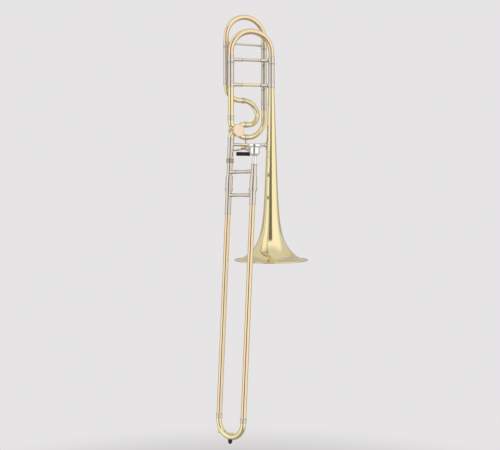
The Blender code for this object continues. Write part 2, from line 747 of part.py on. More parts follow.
def f_attachment(valve):
    """The tubing that the valve switches in: down the valve frame's own directions."""
    f_ferrule_bore = facet_clear(F_RADIUS + SEAT)
    for name, level in (("f_ferrule_upper", 1), ("f_ferrule_lower", -1)):
        ring(name, f_ferrule_bore + FERRULE_WALL, f_ferrule_bore, F_FERRULE_START,
             F_FERRULE_START + F_FERRULE_LENGTH, "nickel_silver", valve, (0, 0, level * F_PORT_LEVEL), X)
    start = F_FERRULE_START + F_FERRULE_LENGTH / 2 + SEAT / 2
    lean = math.asin(F_LOOP_SET_BACK / (2 * F_LOOP_RADIUS))
    up = Vector((0, math.sin(lean), math.cos(lean)))
    rise = 2 * F_LOOP_RADIUS * math.cos(lean)
    joint = start + F_LOOP_JOINT
    route = Route((start, 0, F_PORT_LEVEL), X).straight(F_LOOP_START - start)
    route.bend(F_LOOP_RADIUS, 180, up).straight(F_LOOP_START - joint - SEAT / 2)
    bent("f_loop", route.points, F_RADIUS, WALL, "yellow_brass", valve)
    level = F_PORT_LEVEL + rise
    half = F_LOOP_FERRULE / 2
    ring("f_loop_ferrule", f_ferrule_bore + FERRULE_WALL, f_ferrule_bore, joint - half, joint + half,
         "nickel_silver", valve, (0, F_LOOP_SET_BACK, level), X)
    left_base = level + F_RETURN_BEND
    run = joint - SEAT / 2 - (F_LEFT_OFFSET + F_RETURN_BEND)
    route = Route((joint - SEAT / 2, F_LOOP_SET_BACK, level), -X).straight(run)
    route.bend(F_RETURN_BEND, 90, Z).straight(SOCKET_DEPTH - SEAT)
    bent("f_return_tube", route.points, F_RADIUS, WALL, "yellow_brass", valve)
    run = F_RIGHT_OFFSET - F_LOWER_BEND - start
    right_base = F_SLEEVE_RISE - F_SLEEVE_RIGHT_LENGTH
    climb = right_base + SOCKET_DEPTH - SEAT - (F_LOWER_BEND - F_PORT_LEVEL)
    route = Route((start, 0, -F_PORT_LEVEL), X).straight(run).bend(F_LOWER_BEND, 90, Z).straight(climb)
    bent("f_lower_tube", route.points, F_RADIUS, WALL, "yellow_brass", valve)
    left, right = (F_LEFT_OFFSET, F_LOOP_SET_BACK, 0), (F_RIGHT_OFFSET, 0, 0)
    sleeve("f_sleeve_left", "nickel_silver", valve, left, left_base, F_SLEEVE_RISE - left_base, F_LEG_RADIUS, F_RADIUS)
    sleeve("f_sleeve_right", "nickel_silver", valve, right, right_base, F_SLEEVE_RISE - right_base,
           F_LEG_RADIUS, F_RADIUS)
    slide = axis_empty("f_slide_axis", Matrix.Identity(4), valve)
    base = F_SLEEVE_RISE + SEAT
    for name, at in (("f_leg_left", left), ("f_leg_right", right)):
        bow_leg(name, "nickel_silver", slide, at, base, F_LEG_RADIUS, F_RADIUS, F_BOW_FERRULE, F_LEG_INSERT)
    top = base + F_BOW_FERRULE
    across = Vector(right) - Vector(left)
    run = BOW_SOCKET - SEAT + F_BOW_STRAIGHT
    start = Vector(left) + Z * (top - BOW_SOCKET + SEAT)
    route = Route(start, Z).straight(run).bend(across.length / 2, 180, across).straight(run)
    bent("f_bow", route.points, F_RADIUS, WALL, "gold_brass", slide)
    height = top - F_BRACE_DROP
    ferrule = f_ferrule_bore + FERRULE_WALL
    stay = brace("f_bow_brace", Vector(left) + Z * height, Vector(right) + Z * height, F_BRACE_RADIUS,
                 F_BRACE_RADIUS * 1.25, F_BRACE_SOCKET + ferrule, "nickel_silver", slide)
    seat_on(stay, ferrule, Vector(left) + Z * height, slide)
    seat_on(stay, ferrule, Vector(right) + Z * height, slide)
    return slide


# Braces of the bell section

def tuning_brace(valve):
    """The stay between neck and bell below the tuning slide, with a strut back to the F sleeve."""
    neck_foot, bell_foot = Vector((-BOW_SPAN, 0, LOWER_BRACE_HEIGHT)), Vector((0, 0, LOWER_BRACE_HEIGHT))
    sleeve_bore = facet_clear(LEG_RADIUS + RUNNING)
    ferrules = [
        max(facet_clear(stem + SEAT), sleeve_bore) + FERRULE_WALL for stem in (NECK_RADIUS, STEM_RADIUS)
    ]
    stay = brace("tuning_brace", neck_foot, bell_foot, BRACE_RADIUS, BRACE_SOCKET_RADIUS,
                 BRACE_SOCKET_LENGTH + ferrules[0], "nickel_silver", None)
    f_foot = valve_frame() @ Vector((F_RIGHT_OFFSET, 0, 0))
    f_foot.z = LOWER_BRACE_HEIGHT
    start = bell_foot - X * F_STRUT_INSET
    strut = rod("f_strut", F_STRUT_RADIUS, 0, (f_foot - start).length, None, None, start, f_foot - start)
    join(stay, strut)
    seat_on(stay, ferrules[0], neck_foot)
    seat_on(stay, ferrules[1], bell_foot)
    seat_on(stay, facet_clear(F_LEG_RADIUS + RUNNING) + WALL, f_foot)


def slide_x(height):
    """The X of the slide's axis at this height."""
    return -BOW_SPAN - (VALVE_HEIGHT - KNUCKLE_END - height) * math.tan(SLIDE_TILT)


def f_post(valve):
    """The post that carries the lower F ferrule on the bell brace, still as deep as the ferrule's axis."""
    head = valve_frame() @ Vector((F_FERRULE_START + F_FERRULE_LENGTH / 2, 0, -F_PORT_LEVEL))
    foot = Vector((head.x - F_POST_SHIFT, 0, BELL_BRACE_HEIGHT))
    length = (head - foot).length
    outline = [
        (0, length), (F_POST_RADIUS, length), (F_POST_RADIUS, F_POST_FOOT_HEIGHT),
        (F_POST_FOOT_RADIUS, BRACE_RADIUS), (F_POST_FOOT_RADIUS, 0), (0, 0),
    ]
    return turned("f_post", outline, None, None, foot, head - foot, ROD_SIDES)


def bell_brace(valve, slide_axis):
    """The stay that the left hand holds, from the slide receiver to a flange on the bell, with the F post."""
    height = BELL_BRACE_HEIGHT
    start, end = Vector((slide_x(height), 0, height)), Vector((0, 0, height))
    surface = (end - start).length - bell_radius(height) - SEAT
    lip = surface - BELL_SOCKET_LENGTH
    outline = [
        (0, surface), (BRACE_SOCKET_RADIUS, surface), (BRACE_SOCKET_RADIUS, lip), (BRACE_RADIUS, lip - 0.0012),
        (BRACE_RADIUS, 0), (0, 0),
    ]
    stay = turned("bell_brace", outline, "nickel_silver", None, start, X, ROD_SIDES)
    top, low = height + FLANGE_HEIGHT / 2, height - FLANGE_HEIGHT / 2
    radii = [facet_clear(bell_radius(level) + SEAT, BELL_SIDES) for level in (top, low)]
    shell = turned(
        "bell_flange",
        [(radii[0] + FLANGE_THICKNESS, top), (radii[1] + FLANGE_THICKNESS, low), (radii[1], low), (radii[0], top)],
        sides=BELL_SIDES,
    )
    window = block("flange_window", (0.02, FLANGE_WIDTH, 2 * FLANGE_HEIGHT), at=(-radii[1], 0, height))
    combine(shell, [window], "INTERSECT")
    core = turned(
        "bell_core",
        [(0, top + 0.01), (facet_clear(bell_radius(top + 0.01) + SEAT, BELL_SIDES), top + 0.01),
         (radii[0], top), (radii[1], low), (radii[1], low - 0.001), (0, low - 0.001)],
        sides=BELL_SIDES,
    )
    join(stay, shell, f_post(valve))
    cut(stay, core)
    seat_on(stay, RECEIVER_RADIUS, (0, 0, -(VALVE_HEIGHT - KNUCKLE_END - height)), slide_axis)
    seat_on(stay, facet_clear(F_RADIUS + SEAT) + FERRULE_WALL,
            (F_FERRULE_START + F_FERRULE_LENGTH / 2, 0, -F_PORT_LEVEL), valve, X, F_FERRULE_LENGTH)


# Thumb trigger and linkage

def trigger_axis():
    """The pivot's place under the bell brace; the trigger turns about X."""
    return Vector((TRIGGER_OFFSET - BOW_SPAN, 0, BELL_BRACE_HEIGHT - TRIGGER_DROP))


def link_ends(valve_matrix):
    """The link's two ends at rest: its eye on the trigger's arm, and its cup behind the stop pin."""
    front, seat, inside, back = casing_depths()
    depth = back + SEAT + STOP_ARM_THICKNESS + LINK_THICKNESS + SEAT + LINK_THICKNESS / 2
    cup = valve_matrix @ at_angle(STOP_PIN_REACH, 225, depth)
    arm = cup.y - trigger_axis().y
    half_throw = STOP_PIN_REACH * math.sin(ROTOR_TURN / 2)
    eye = Vector((cup.x, cup.y, trigger_axis().z - half_throw))
    travel = 2 * math.atan(half_throw / arm)
    return eye, cup, travel


def trigger_saddle():
    """The saddle soldered under the bell brace, with two lugs for the pivot, and the spring on that pivot."""
    pivot = trigger_axis()
    half = TRIGGER_HUB_LENGTH / 2 + SEAT
    top = BELL_BRACE_HEIGHT - BRACE_RADIUS * 0.5
    low = pivot.z + SPRING_RADIUS + SPRING_WIRE + SEAT
    width = 1.8 * LUG_RADIUS
    plate = block("trigger_saddle", (2 * (half + LUG_THICKNESS) + 0.001, 2.2 * LUG_RADIUS, top - low),
                  "yellow_brass", None, (pivot.x, 0, (top + low) / 2))
    for name, side in (("lug_left", -1), ("lug_right", 1)):
        middle = pivot.x + side * (half + LUG_THICKNESS / 2)
        web = block(name + "_web", (LUG_THICKNESS * 0.9, width, low + 0.001 - pivot.z), None, None,
                    (middle, 0, (low + 0.001 + pivot.z) / 2))
        eye = rod(name, LUG_RADIUS, -LUG_THICKNESS / 2, LUG_THICKNESS / 2, None, None,
                  (middle, 0, pivot.z), X)
        join(plate, web, eye)
    hole = rod("pivot_hole", facet_clear(PIVOT_RADIUS + SEAT, ROD_SIDES), -0.02, 0.02, None, None, pivot, X)
    cut(plate, hole)
    seat_on(plate, BRACE_RADIUS, (pivot.x, 0, BELL_BRACE_HEIGHT), None, X)
    reach = half + LUG_THICKNESS
    top = reach + SEAT + PIVOT_HEAD_HEIGHT
    outline = [
        (0, top), (PIVOT_HEAD_RADIUS, top), (PIVOT_HEAD_RADIUS, reach + SEAT), (PIVOT_RADIUS, reach + SEAT),
        (PIVOT_RADIUS, -reach - PIVOT_TAIL), (0, -reach - PIVOT_TAIL),
    ]
    turned("trigger_pivot_screw", outline, "nickel_silver", None, pivot, X, ROD_SIDES)
    coil = torsion_spring(pivot, X, Z, SPRING_RADIUS, SPRING_PITCH, SPRING_TURNS, SPRING_LEGS)
    bent("trigger_spring", coil, SPRING_WIRE, None, "spring_steel", sides=6)


def trigger(valve_matrix):
    """The lever: a hub on the pivot, an arm back to the link, and a crank down to the grip."""
    pivot = trigger_axis()
    lever_axis = axis_empty("trigger_axis", Matrix.Translation(pivot))
    eye, cup, travel = link_ends(valve_matrix)
    half = TRIGGER_HUB_LENGTH / 2
    hub = rod("trigger_lever", TRIGGER_HUB_RADIUS, -half, half, "nickel_silver", lever_axis, axis=X)
    root = -half + TRIGGER_ROD_RADIUS
    to_eye = eye - pivot
    shoulder = to_eye + X * (LINK_THICKNESS / 2 + SEAT + TRIGGER_ROD_RADIUS)
    arm = bent("rear_arm", rounded([(root, 0, 0), (root, ARM_BACK, to_eye.z * 0.35), shoulder], ARM_BEND),
               TRIGGER_ROD_RADIUS, parent=lever_axis, sides=ROD_SIDES)
    knob = rod("arm_knob", TRIGGER_ROD_RADIUS * 1.25, -TRIGGER_ROD_RADIUS, TRIGGER_ROD_RADIUS,
               None, lever_axis, shoulder, X)
    pin = rod("arm_pin", PIVOT_RADIUS, -LINK_THICKNESS - 3 * SEAT - TRIGGER_ROD_RADIUS, 0,
              None, lever_axis, shoulder, X)
    end_x = GRIP_END_OFFSET - TRIGGER_OFFSET
    low = Vector((end_x - GRIP_LENGTH - SEAT, -GRIP_FORWARD, -GRIP_DROP))
    turn_x = end_x + CRANK_BEND + CRANK_GAP
    crank_points = rounded(
        [(root, 0, 0), (root, -CRANK_FORWARD, CRANK_RISE), (turn_x, -GRIP_FORWARD, CRANK_FOOT - GRIP_DROP),
         (turn_x, -GRIP_FORWARD, -GRIP_DROP), low], CRANK_BEND)
    crank = bent("crank", crank_points, TRIGGER_ROD_RADIUS, parent=lever_axis, sides=ROD_SIDES)
    bore = rod("hub_bore", facet_clear(PIVOT_RADIUS + SEAT, ROD_SIDES), -half - 0.001, half + 0.001,
               None, lever_axis, axis=X)
    join(hub, arm, knob, pin, crank)
    cut(hub, bore)
    edge = 0.0012
    bore_radius = facet_clear(TRIGGER_ROD_RADIUS + SEAT, ROD_SIDES)
    grip = [
        (GRIP_RADIUS - edge, GRIP_LENGTH), (GRIP_RADIUS, GRIP_LENGTH - edge), (GRIP_RADIUS, edge),
        (GRIP_RADIUS - edge, 0), (bore_radius, 0), (bore_radius, GRIP_LENGTH),
    ]
    turned("trigger_grip", grip, "dark_wood", lever_axis,
           (end_x - GRIP_LENGTH, -GRIP_FORWARD, -GRIP_DROP), X)
    link_axis = axis_empty("link_axis", Matrix.Translation(to_eye), lever_axis)
    eye_ring = ring("link_rod", LINK_EYE_RADIUS, facet_clear(PIVOT_RADIUS + SEAT), -LINK_THICKNESS / 2,
                    LINK_THICKNESS / 2, "nickel_silver", link_axis, axis=X)
    to_cup = cup - eye
    stem = rod("link_stem", LINK_ROD_RADIUS, 0.0025, to_cup.length - 0.001, None, link_axis, axis=to_cup)
    shaft = valve_matrix.to_3x3() @ Y
    disc = rod("link_cup", LINK_EYE_RADIUS, -LINK_THICKNESS / 2, LINK_THICKNESS / 2,
               None, link_axis, to_cup, shaft)
    join(eye_ring, stem, disc)
    return travel


# Hand slide: inner slide section

def slide_frame():
    """Z up the slide's axis and X from the neck leg to the mouthpiece leg, from the lower knuckle."""
    start = Vector((-BOW_SPAN, 0, VALVE_HEIGHT - KNUCKLE_END))
    lean = Matrix.Rotation(SLIDE_TILT, 4, "Y") @ Matrix.Rotation(-SLIDE_LEAN, 4, "X")
    return Matrix.Translation(start) @ lean @ Matrix.Rotation(SLIDE_TURN, 4, "Z")


def slide_receiver(slide_axis):
    """The tube on the valve's lower knuckle that the slide's tenon plugs into."""
    cup = facet_clear(NECK_RADIUS + 2 * SEAT)
    bore = facet_clear(TENON_RADIUS + SEAT)
    floor = -0.0010
    low = -RECEIVER_LENGTH
    outline = [
        (cup + FERRULE_WALL, RECEIVER_CUP), (cup + FERRULE_WALL, floor), (RECEIVER_RADIUS, floor - 0.0015),
        (RECEIVER_RADIUS, low), (bore, low), (bore, floor), (cup, floor), (cup, RECEIVER_CUP),
    ]
    turned("slide_receiver", outline, "nickel_silver", slide_axis)


def lock_nut(slide_axis):
    """The nut that draws the tenon's flange up to the receiver."""
    top = -RECEIVER_LENGTH + LOCK_NUT_COVER
    bottom = top - LOCK_NUT_LENGTH
    thread = facet_clear(RECEIVER_RADIUS + SEAT)
    lip = facet_clear(UPPER_TUBE_RADIUS + SEAT)
    shoulder = -RECEIVER_LENGTH - SEAT - TENON_FLANGE - SEAT
    edge = 0.0006
    outline = [
        (LOCK_NUT_RADIUS - edge, top), (LOCK_NUT_RADIUS, top - edge), (LOCK_NUT_RADIUS, bottom + edge),
        (LOCK_NUT_RADIUS - edge, bottom), (lip, bottom), (lip, shoulder), (thread, shoulder), (thread, top),
    ]
    turned("lock_nut", outline, "nickel_silver", slide_axis)


def upper_tubes(slide):
    """The tenon on the neck side and the mouthpiece receiver on the other, down to the barrels."""
    bottom = -BARREL_TOP - BARREL_SEAT
    inner_socket = facet_clear(INNER_RADIUS + SEAT)
    step = bottom + INNER_SOCKET
    flange_top = -RECEIVER_LENGTH - SEAT
    flange_bottom = flange_top - TENON_FLANGE
    outline = [
        (TENON_RADIUS - 0.0003, flange_top + TENON_DEPTH), (TENON_RADIUS, flange_top),
        (RECEIVER_RADIUS, flange_top), (RECEIVER_RADIUS, flange_bottom), (UPPER_TUBE_RADIUS, flange_bottom),
        (UPPER_TUBE_RADIUS, bottom), (inner_socket, bottom), (inner_socket, step),
        (INNER_RADIUS - WALL, step), (INNER_RADIUS - WALL, flange_top + TENON_DEPTH),
    ]
    turned("slide_tenon", outline, "nickel_silver", slide)
    top = -MOUTHPIECE_RECEIVER_TOP
    mouth = facet_clear(SHANK_RADIUS + SEAT)
    deep = top - SHANK_INSERT - 0.002
    outline = [
        (MOUTHPIECE_COLLAR_RADIUS, top), (MOUTHPIECE_COLLAR_RADIUS, top - 0.0030),
        (UPPER_TUBE_RADIUS, top - 0.0040), (UPPER_TUBE_RADIUS, bottom), (inner_socket, bottom),
        (inner_socket, step), (mouth - SHANK_TAPER, step), (mouth - SHANK_TAPER, deep), (mouth, top),
    ]
    turned("mouthpiece_receiver", outline, "nickel_silver", slide, (SLIDE_SPAN, 0, 0))
    height = -INNER_BRACE_DROP
    stay = brace("inner_brace", (0, 0, height), (SLIDE_SPAN, 0, height), INNER_BRACE_RADIUS,
                 INNER_BRACE_RADIUS * 1.1, UPPER_TUBE_RADIUS + 0.008, "nickel_silver", slide)
    seat_on(stay, UPPER_TUBE_RADIUS, (0, 0, height), slide)
    seat_on(stay, UPPER_TUBE_RADIUS, (SLIDE_SPAN, 0, height), slide)


def slide_legs():
    """The two legs of the hand slide, as name and place along X."""
    return (("neck", 0.0), ("mouthpiece", SLIDE_SPAN))


def oversleeve_radius():
    return facet_clear(OUTER_RADIUS + SEAT) + OVERSLEEVE_WALL


def inner_slide(slide):
    """The cork barrels, and the long inner tubes with their thicker ends."""
    seat_bore = facet_clear(UPPER_TUBE_RADIUS + SEAT)
    cavity = facet_clear(oversleeve_radius() + RUNNING)
    top, bottom = -BARREL_TOP, -BARREL_TOP - BARREL_LENGTH
    floor = top - BARREL_SEAT - SEAT
    edge = 0.0008
    for side, x in slide_legs():
        outline = [(BARREL_RADIUS - edge, top), (BARREL_RADIUS, top - edge)]
        if side == "neck":
            ring_top = bottom + BARREL_RING_LENGTH
            outline += [
                (BARREL_RADIUS, ring_top + edge), (BARREL_RING_RADIUS, ring_top), (BARREL_RING_RADIUS, bottom),
            ]
        else:
            outline += [(BARREL_RADIUS, bottom)]
        outline += [(cavity, bottom), (cavity, floor), (seat_bore, floor), (seat_bore, top)]
        turned(f"cork_barrel_{side}", outline, "nickel_silver", slide, (x, 0, 0))
        start = top - BARREL_SEAT + INNER_SOCKET - SEAT
        end = -INNER_TUBE_END
        stocking = end + STOCKING_LENGTH
        outline = [
            (INNER_RADIUS, start), (INNER_RADIUS, stocking + 0.001), (STOCKING_RADIUS, stocking),
            (STOCKING_RADIUS, end), (INNER_RADIUS - WALL, end), (INNER_RADIUS - WALL, start),
        ]
        turned(f"inner_tube_{side}", outline, "chrome_plate", slide, (x, 0, 0))


def slide_lock(slide):
    """A ring that turns on the mouthpiece barrel, with a finger down towards the outer brace."""
    bottom = -BARREL_TOP - BARREL_LENGTH
    bore = facet_clear(BARREL_RADIUS) + SEAT
    outer = bore + LOCK_RING_WALL
    lock = ring("slide_lock_ring", outer, bore, bottom, bottom + LOCK_RING_LENGTH, "nickel_silver",
                slide, (SLIDE_SPAN, 0, 0))
    reach = outer - LOCK_FINGER_THICKNESS / 2
    out = Vector((math.cos(LOCK_FINGER_ANGLE), math.sin(LOCK_FINGER_ANGLE), 0))
    height = bottom + 0.001 - LOCK_FINGER_LENGTH / 2
    finger = block("lock_finger", (LOCK_FINGER_THICKNESS, LOCK_FINGER_WIDTH, LOCK_FINGER_LENGTH + 0.002),
                   None, slide, Vector((SLIDE_SPAN, 0, height)) + out * reach)
    finger.rotation_quaternion = Matrix.Rotation(LOCK_FINGER_ANGLE, 3, "Z").to_quaternion()
    join(lock, finger)


# Hand slide: outer slide

def crook_centre():
    """The centre of the crook's bend."""
    return Vector((SLIDE_SPAN / 2, 0, -CROOK_JOINT - CROOK_STRAIGHT))


def outer_slide(slide):
    sleeve_bore = facet_clear(OUTER_RADIUS + SEAT)
    lengths = {"neck": OVERSLEEVE_NECK_LENGTH, "mouthpiece": OVERSLEEVE_MOUTHPIECE_LENGTH}
    ferrule_bore = facet_clear(max(CROOK_RADIUS, OUTER_RADIUS) + SEAT)
    for side, x in slide_legs():
        ring(f"outer_tube_{side}", OUTER_RADIUS, OUTER_RADIUS - OUTER_WALL, -CROOK_JOINT + SEAT / 2,
             -OVERSLEEVE_TOP - 0.002, "gold_brass", slide, (x, 0, 0))
        ring(f"oversleeve_{side}", sleeve_bore + OVERSLEEVE_WALL, sleeve_bore,
             -OVERSLEEVE_TOP - lengths[side], -OVERSLEEVE_TOP, "nickel_silver", slide, (x, 0, 0))
        ring(f"crook_ferrule_{side}", ferrule_bore + FERRULE_WALL, ferrule_bore,
             -CROOK_JOINT - CROOK_FERRULE / 2, -CROOK_JOINT + CROOK_FERRULE / 2,
             "nickel_silver", slide, (x, 0, 0))
    height = -OUTER_BRACE_DROP
    stay = brace("outer_brace", (0, 0, height), (SLIDE_SPAN, 0, height), OUTER_BRACE_RADIUS,
                 OUTER_BRACE_RADIUS * 1.1, oversleeve_radius() + 0.008, "nickel_silver", slide)
    seat_on(stay, oversleeve_radius(), (0, 0, height), slide)
    seat_on(stay, oversleeve_radius(), (SLIDE_SPAN, 0, height), slide)
    crook(slide)
    crook_bumper(slide)


def crook_route(extra=0.0):
    run = CROOK_STRAIGHT - SEAT / 2
    start = (0, 0, -CROOK_JOINT - SEAT / 2)
    route = Route(start, -Z).straight(run).bend(SLIDE_SPAN / 2, 180, X).straight(run)
    return route.points


def crook(slide):
    """The bend at the slide's end, with the water key's nipple on its back."""
    tube = bent("crook", crook_route(), CROOK_RADIUS, None, "yellow_brass", slide, mesh=True)
    bend = SLIDE_SPAN / 2
    at = crook_centre() + Vector((math.cos(NIPPLE_ANGLE), 0, math.sin(NIPPLE_ANGLE))) * bend
    nipple = rod("nipple", NIPPLE_RADIUS, 0.0045, NIPPLE_REACH, None, slide, at, Y)
    drain = rod("nipple_bore", NIPPLE_BORE, 0.001, NIPPLE_REACH + 0.001, None, slide, at, Y)
    points = crook_route()
    points = [points[0] + Z * 0.001] + points + [points[-1] + Z * 0.001]
    bore = bent("crook_bore", points, CROOK_RADIUS - WALL, parent=slide)
    join(tube, nipple)
    cut(tube, bore, drain)


def crook_shadow(name, slide):
    """The crook's outside with a seat's gap round it, to cut what sits on it."""
    radius = facet_clear(CROOK_RADIUS + SEAT)
    return bent(name, crook_route(), radius, parent=slide)


def crook_bumper(slide):
    centre = crook_centre()
    bottom = -SLIDE_SPAN / 2 - CROOK_RADIUS
    tip = bottom - BUMPER_LENGTH
    outline = [
        (0, bottom + 0.003), (CROOK_BUMPER_RADIUS * 0.92, bottom + 0.003), (CROOK_BUMPER_RADIUS, bottom - 0.002),
        (CROOK_BUMPER_RADIUS * 0.96, bottom - 0.005), (CROOK_BUMPER_RADIUS * 0.8, bottom - 0.0085),
        (BUMPER_TIP_RADIUS, tip), (0, tip),
    ]
    bumper = turned("crook_bumper", outline, "black_rubber", slide, centre)
    cut(bumper, crook_shadow("bumper_seat", slide))


def water_key(slide):
    """The saddle on the crook's back with its spring, and the lever that lifts its pad off the nipple."""
    centre = crook_centre()
    pivot = Vector((SLIDE_SPAN / 2 - KEY_PIVOT_ASIDE, KEY_PIVOT_BACK,
                    centre.z - SLIDE_SPAN / 2 + KEY_PIVOT_RISE))
    half = KEY_HUB_LENGTH / 2
    reach = half + SEAT + KEY_POST_THICKNESS
    base_depth = CROOK_RADIUS + 0.0022
    base = block("water_key_saddle", (0.008, base_depth - 0.004, 2 * reach + 0.0008), "yellow_brass", slide,
                 (pivot.x, (base_depth + 0.004) / 2, pivot.z))
    for name, side in (("upper_post", 1), ("lower_post", -1)):
        level = pivot.z + side * (half + SEAT + KEY_POST_THICKNESS / 2)
        web = block(name + "_web", (0.0045, pivot.y - 0.006, KEY_POST_THICKNESS * 0.9), None, slide,
                    (pivot.x, (pivot.y + 0.006) / 2, level))
        eye = rod(name, 0.0025, -KEY_POST_THICKNESS / 2, KEY_POST_THICKNESS / 2, None, slide,
                  (pivot.x, pivot.y, level))
        join(base, web, eye)
    pin = rod("key_pin", KEY_PIN_RADIUS, -reach - 0.0005, reach + 0.0005, None, slide, pivot)
    cut(base, crook_shadow("key_seat", slide))
    join(base, pin)
    key_axis = axis_empty("water_key_axis", Matrix.Translation(pivot), slide)
    bend = SLIDE_SPAN / 2
    nipple = centre + Vector((math.cos(NIPPLE_ANGLE), 0, math.sin(NIPPLE_ANGLE))) * bend - pivot
    pad_low = NIPPLE_REACH + SEAT - pivot.y
    pad_top = pad_low + PAD_THICKNESS
    cup_top = pad_top + SEAT + PAD_CUP_THICKNESS
    rod("water_key_pad", PAD_RADIUS, pad_low, pad_top, "cork", key_axis, (nipple.x, 0, nipple.z), Y)
    lever = rod("water_key_lever", KEY_HUB_RADIUS, -half, half, "yellow_brass", key_axis)
    arm_level = half - KEY_ARM_RADIUS
    cup = rod("pad_cup", PAD_RADIUS + 0.0006, pad_top + SEAT, cup_top, None, key_axis,
              (nipple.x, 0, nipple.z), Y)
    pad_arm = bent("pad_arm", [(0.0015, 0, arm_level), (nipple.x, cup_top + 0.0004, nipple.z)],
                   KEY_ARM_RADIUS, parent=key_axis, sides=8)
    touch_x = KEY_TOUCH_X - pivot.x
    touch_points = rounded([(-0.0015, 0, arm_level), (touch_x * 0.4, 0.0035, 0.001), (touch_x, 0, 0.002)], 0.01)
    touch_arm = bent("touch_arm", touch_points, KEY_ARM_RADIUS, parent=key_axis, sides=8)
    touch = turned(
        "key_touch",
        [(0, 0.0014), (KEY_TOUCH_RADIUS * 0.8, 0.0014), (KEY_TOUCH_RADIUS, 0.0004),
         (KEY_TOUCH_RADIUS, -0.0010), (KEY_TOUCH_RADIUS * 0.7, -0.0020), (0, -0.0020)],
        None, key_axis, (touch_x, -0.0008, 0.002), Y,
    )
    bore = rod("key_bore", facet_clear(KEY_PIN_RADIUS + SEAT, ROD_SIDES), -half - 0.001, half + 0.001,
               None, key_axis)
    join(lever, cup, pad_arm, touch_arm, touch)
    cut(lever, bore)
    spring_radius = KEY_HUB_RADIUS + 0.0010
    level = -half + KEY_SPRING_TURNS * KEY_SPRING_PITCH / 2 + KEY_SPRING_WIRE
    coil = torsion_spring(pivot + Z * level, Z, -Y, spring_radius, KEY_SPRING_PITCH, KEY_SPRING_TURNS,
                          (0.007, 0.005))
    bent("water_key_spring", coil, KEY_SPRING_WIRE, None, "spring_steel", slide, sides=6)


# Mouthpiece

def mouthpiece(slide):
    top = -MOUTHPIECE_RIM_TOP
    cup_bottom = top - MOUTHPIECE_CUP_LENGTH
    tip = -MOUTHPIECE_RECEIVER_TOP - SHANK_INSERT
    rim, cup = MOUTHPIECE_RIM_RADIUS, MOUTHPIECE_CUP_RADIUS
    rim_inner = rim - 0.0068
    outline = [
        (rim_inner + 0.0022, top), (rim - 0.0016, top - 0.0008), (rim, top - 0.0030), (rim, top - 0.0065),
        (rim - 0.0015, top - 0.0085), (cup, top - 0.0095), (cup * 0.97, cup_bottom + 0.0085),
        (cup * 0.82, cup_bottom + 0.0025), (SHANK_RADIUS + 0.0030, cup_bottom - 0.0015),
        (SHANK_RADIUS, cup_bottom - 0.0060), (SHANK_RADIUS, -MOUTHPIECE_RECEIVER_TOP),
        (SHANK_RADIUS - SHANK_TAPER, tip),
        (THROAT_RADIUS + 0.0012, tip), (THROAT_RADIUS, cup_bottom + 0.0010),
        (THROAT_RADIUS + 0.0030, cup_bottom + 0.0050), (rim_inner - 0.0018, cup_bottom + 0.0140),
        (rim_inner, top - 0.0040),
    ]
    turned("mouthpiece", outline, "silver_plate", slide, (SLIDE_SPAN, 0, 0), sides=24)


def main():
    bell()
    tuning_slide()
    neck()
    valve = axis_empty("valve_axis", valve_frame())
    valve_casing(valve)
    valve_covers(valve)
    rotor(valve)
    stop_arm(valve)
    f_attachment(valve)
    tuning_brace(valve)
    slide_axis = axis_empty("slide_axis", slide_frame())
    slide_receiver(slide_axis)
    lock_nut(slide_axis)
    bell_brace(valve, slide_axis)
    trigger_saddle()
    travel = trigger(valve_frame())
    upper_tubes(slide_axis)
    inner_slide(slide_axis)
    slide_lock(slide_axis)
    outer_slide(slide_axis)
    water_key(slide_axis)
    mouthpiece(slide_axis)
    print("trigger travel", round(math.degrees(travel), 3), "degrees")
    bpy.context.view_layer.update()
    for empty in helpers.objects:
        if empty.type == "EMPTY":
            matrix = empty.matrix_world
            print(empty.name, [round(value, 6) for value in matrix.translation],
                  [[round(value, 6) for value in matrix.to_3x3().col[i]] for i in range(3)])


clear_scene()
parts = new_collection("tenor_trombone")
helpers = new_collection("cutters_and_axes")
main()
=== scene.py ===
"""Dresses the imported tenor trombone: fine surfaces over the CAD, lacquered and plated metal, a plain studio.

Shapes are worked out in millimetres and degrees, and piece() brings them to metres. The bell's axis is Z, its
mouth lies at 0 and looks down, and the neck and the slide lie towards -X."""

import math

import bmesh
import bpy
import numpy as np
from mathutils import Matrix


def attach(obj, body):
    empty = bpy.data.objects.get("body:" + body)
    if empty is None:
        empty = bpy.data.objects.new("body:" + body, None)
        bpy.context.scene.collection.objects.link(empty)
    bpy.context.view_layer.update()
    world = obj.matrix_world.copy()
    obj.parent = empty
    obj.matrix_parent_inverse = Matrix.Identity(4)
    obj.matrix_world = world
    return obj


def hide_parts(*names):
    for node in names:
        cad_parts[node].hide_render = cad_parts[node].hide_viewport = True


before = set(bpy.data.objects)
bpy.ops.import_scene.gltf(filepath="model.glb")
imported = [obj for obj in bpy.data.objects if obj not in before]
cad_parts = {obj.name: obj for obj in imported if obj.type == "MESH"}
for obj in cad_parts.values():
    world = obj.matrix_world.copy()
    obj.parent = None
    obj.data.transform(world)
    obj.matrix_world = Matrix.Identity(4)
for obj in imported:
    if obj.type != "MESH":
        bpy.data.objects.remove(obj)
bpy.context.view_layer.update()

MM = 0.001
TAU = 2 * math.pi
FACET = 1 / math.cos(math.pi / 16)   # the CAD's bores are wider by this, because of their facets
UP, AHEAD, BACK = (0, 0, 1), (1, 0, 0), (0, 1, 0)


# Frames: 4 by 4 matrices

def move(x=0.0, y=0.0, z=0.0):
    matrix = np.eye(4)
    matrix[:3, 3] = x, y, z
    return matrix


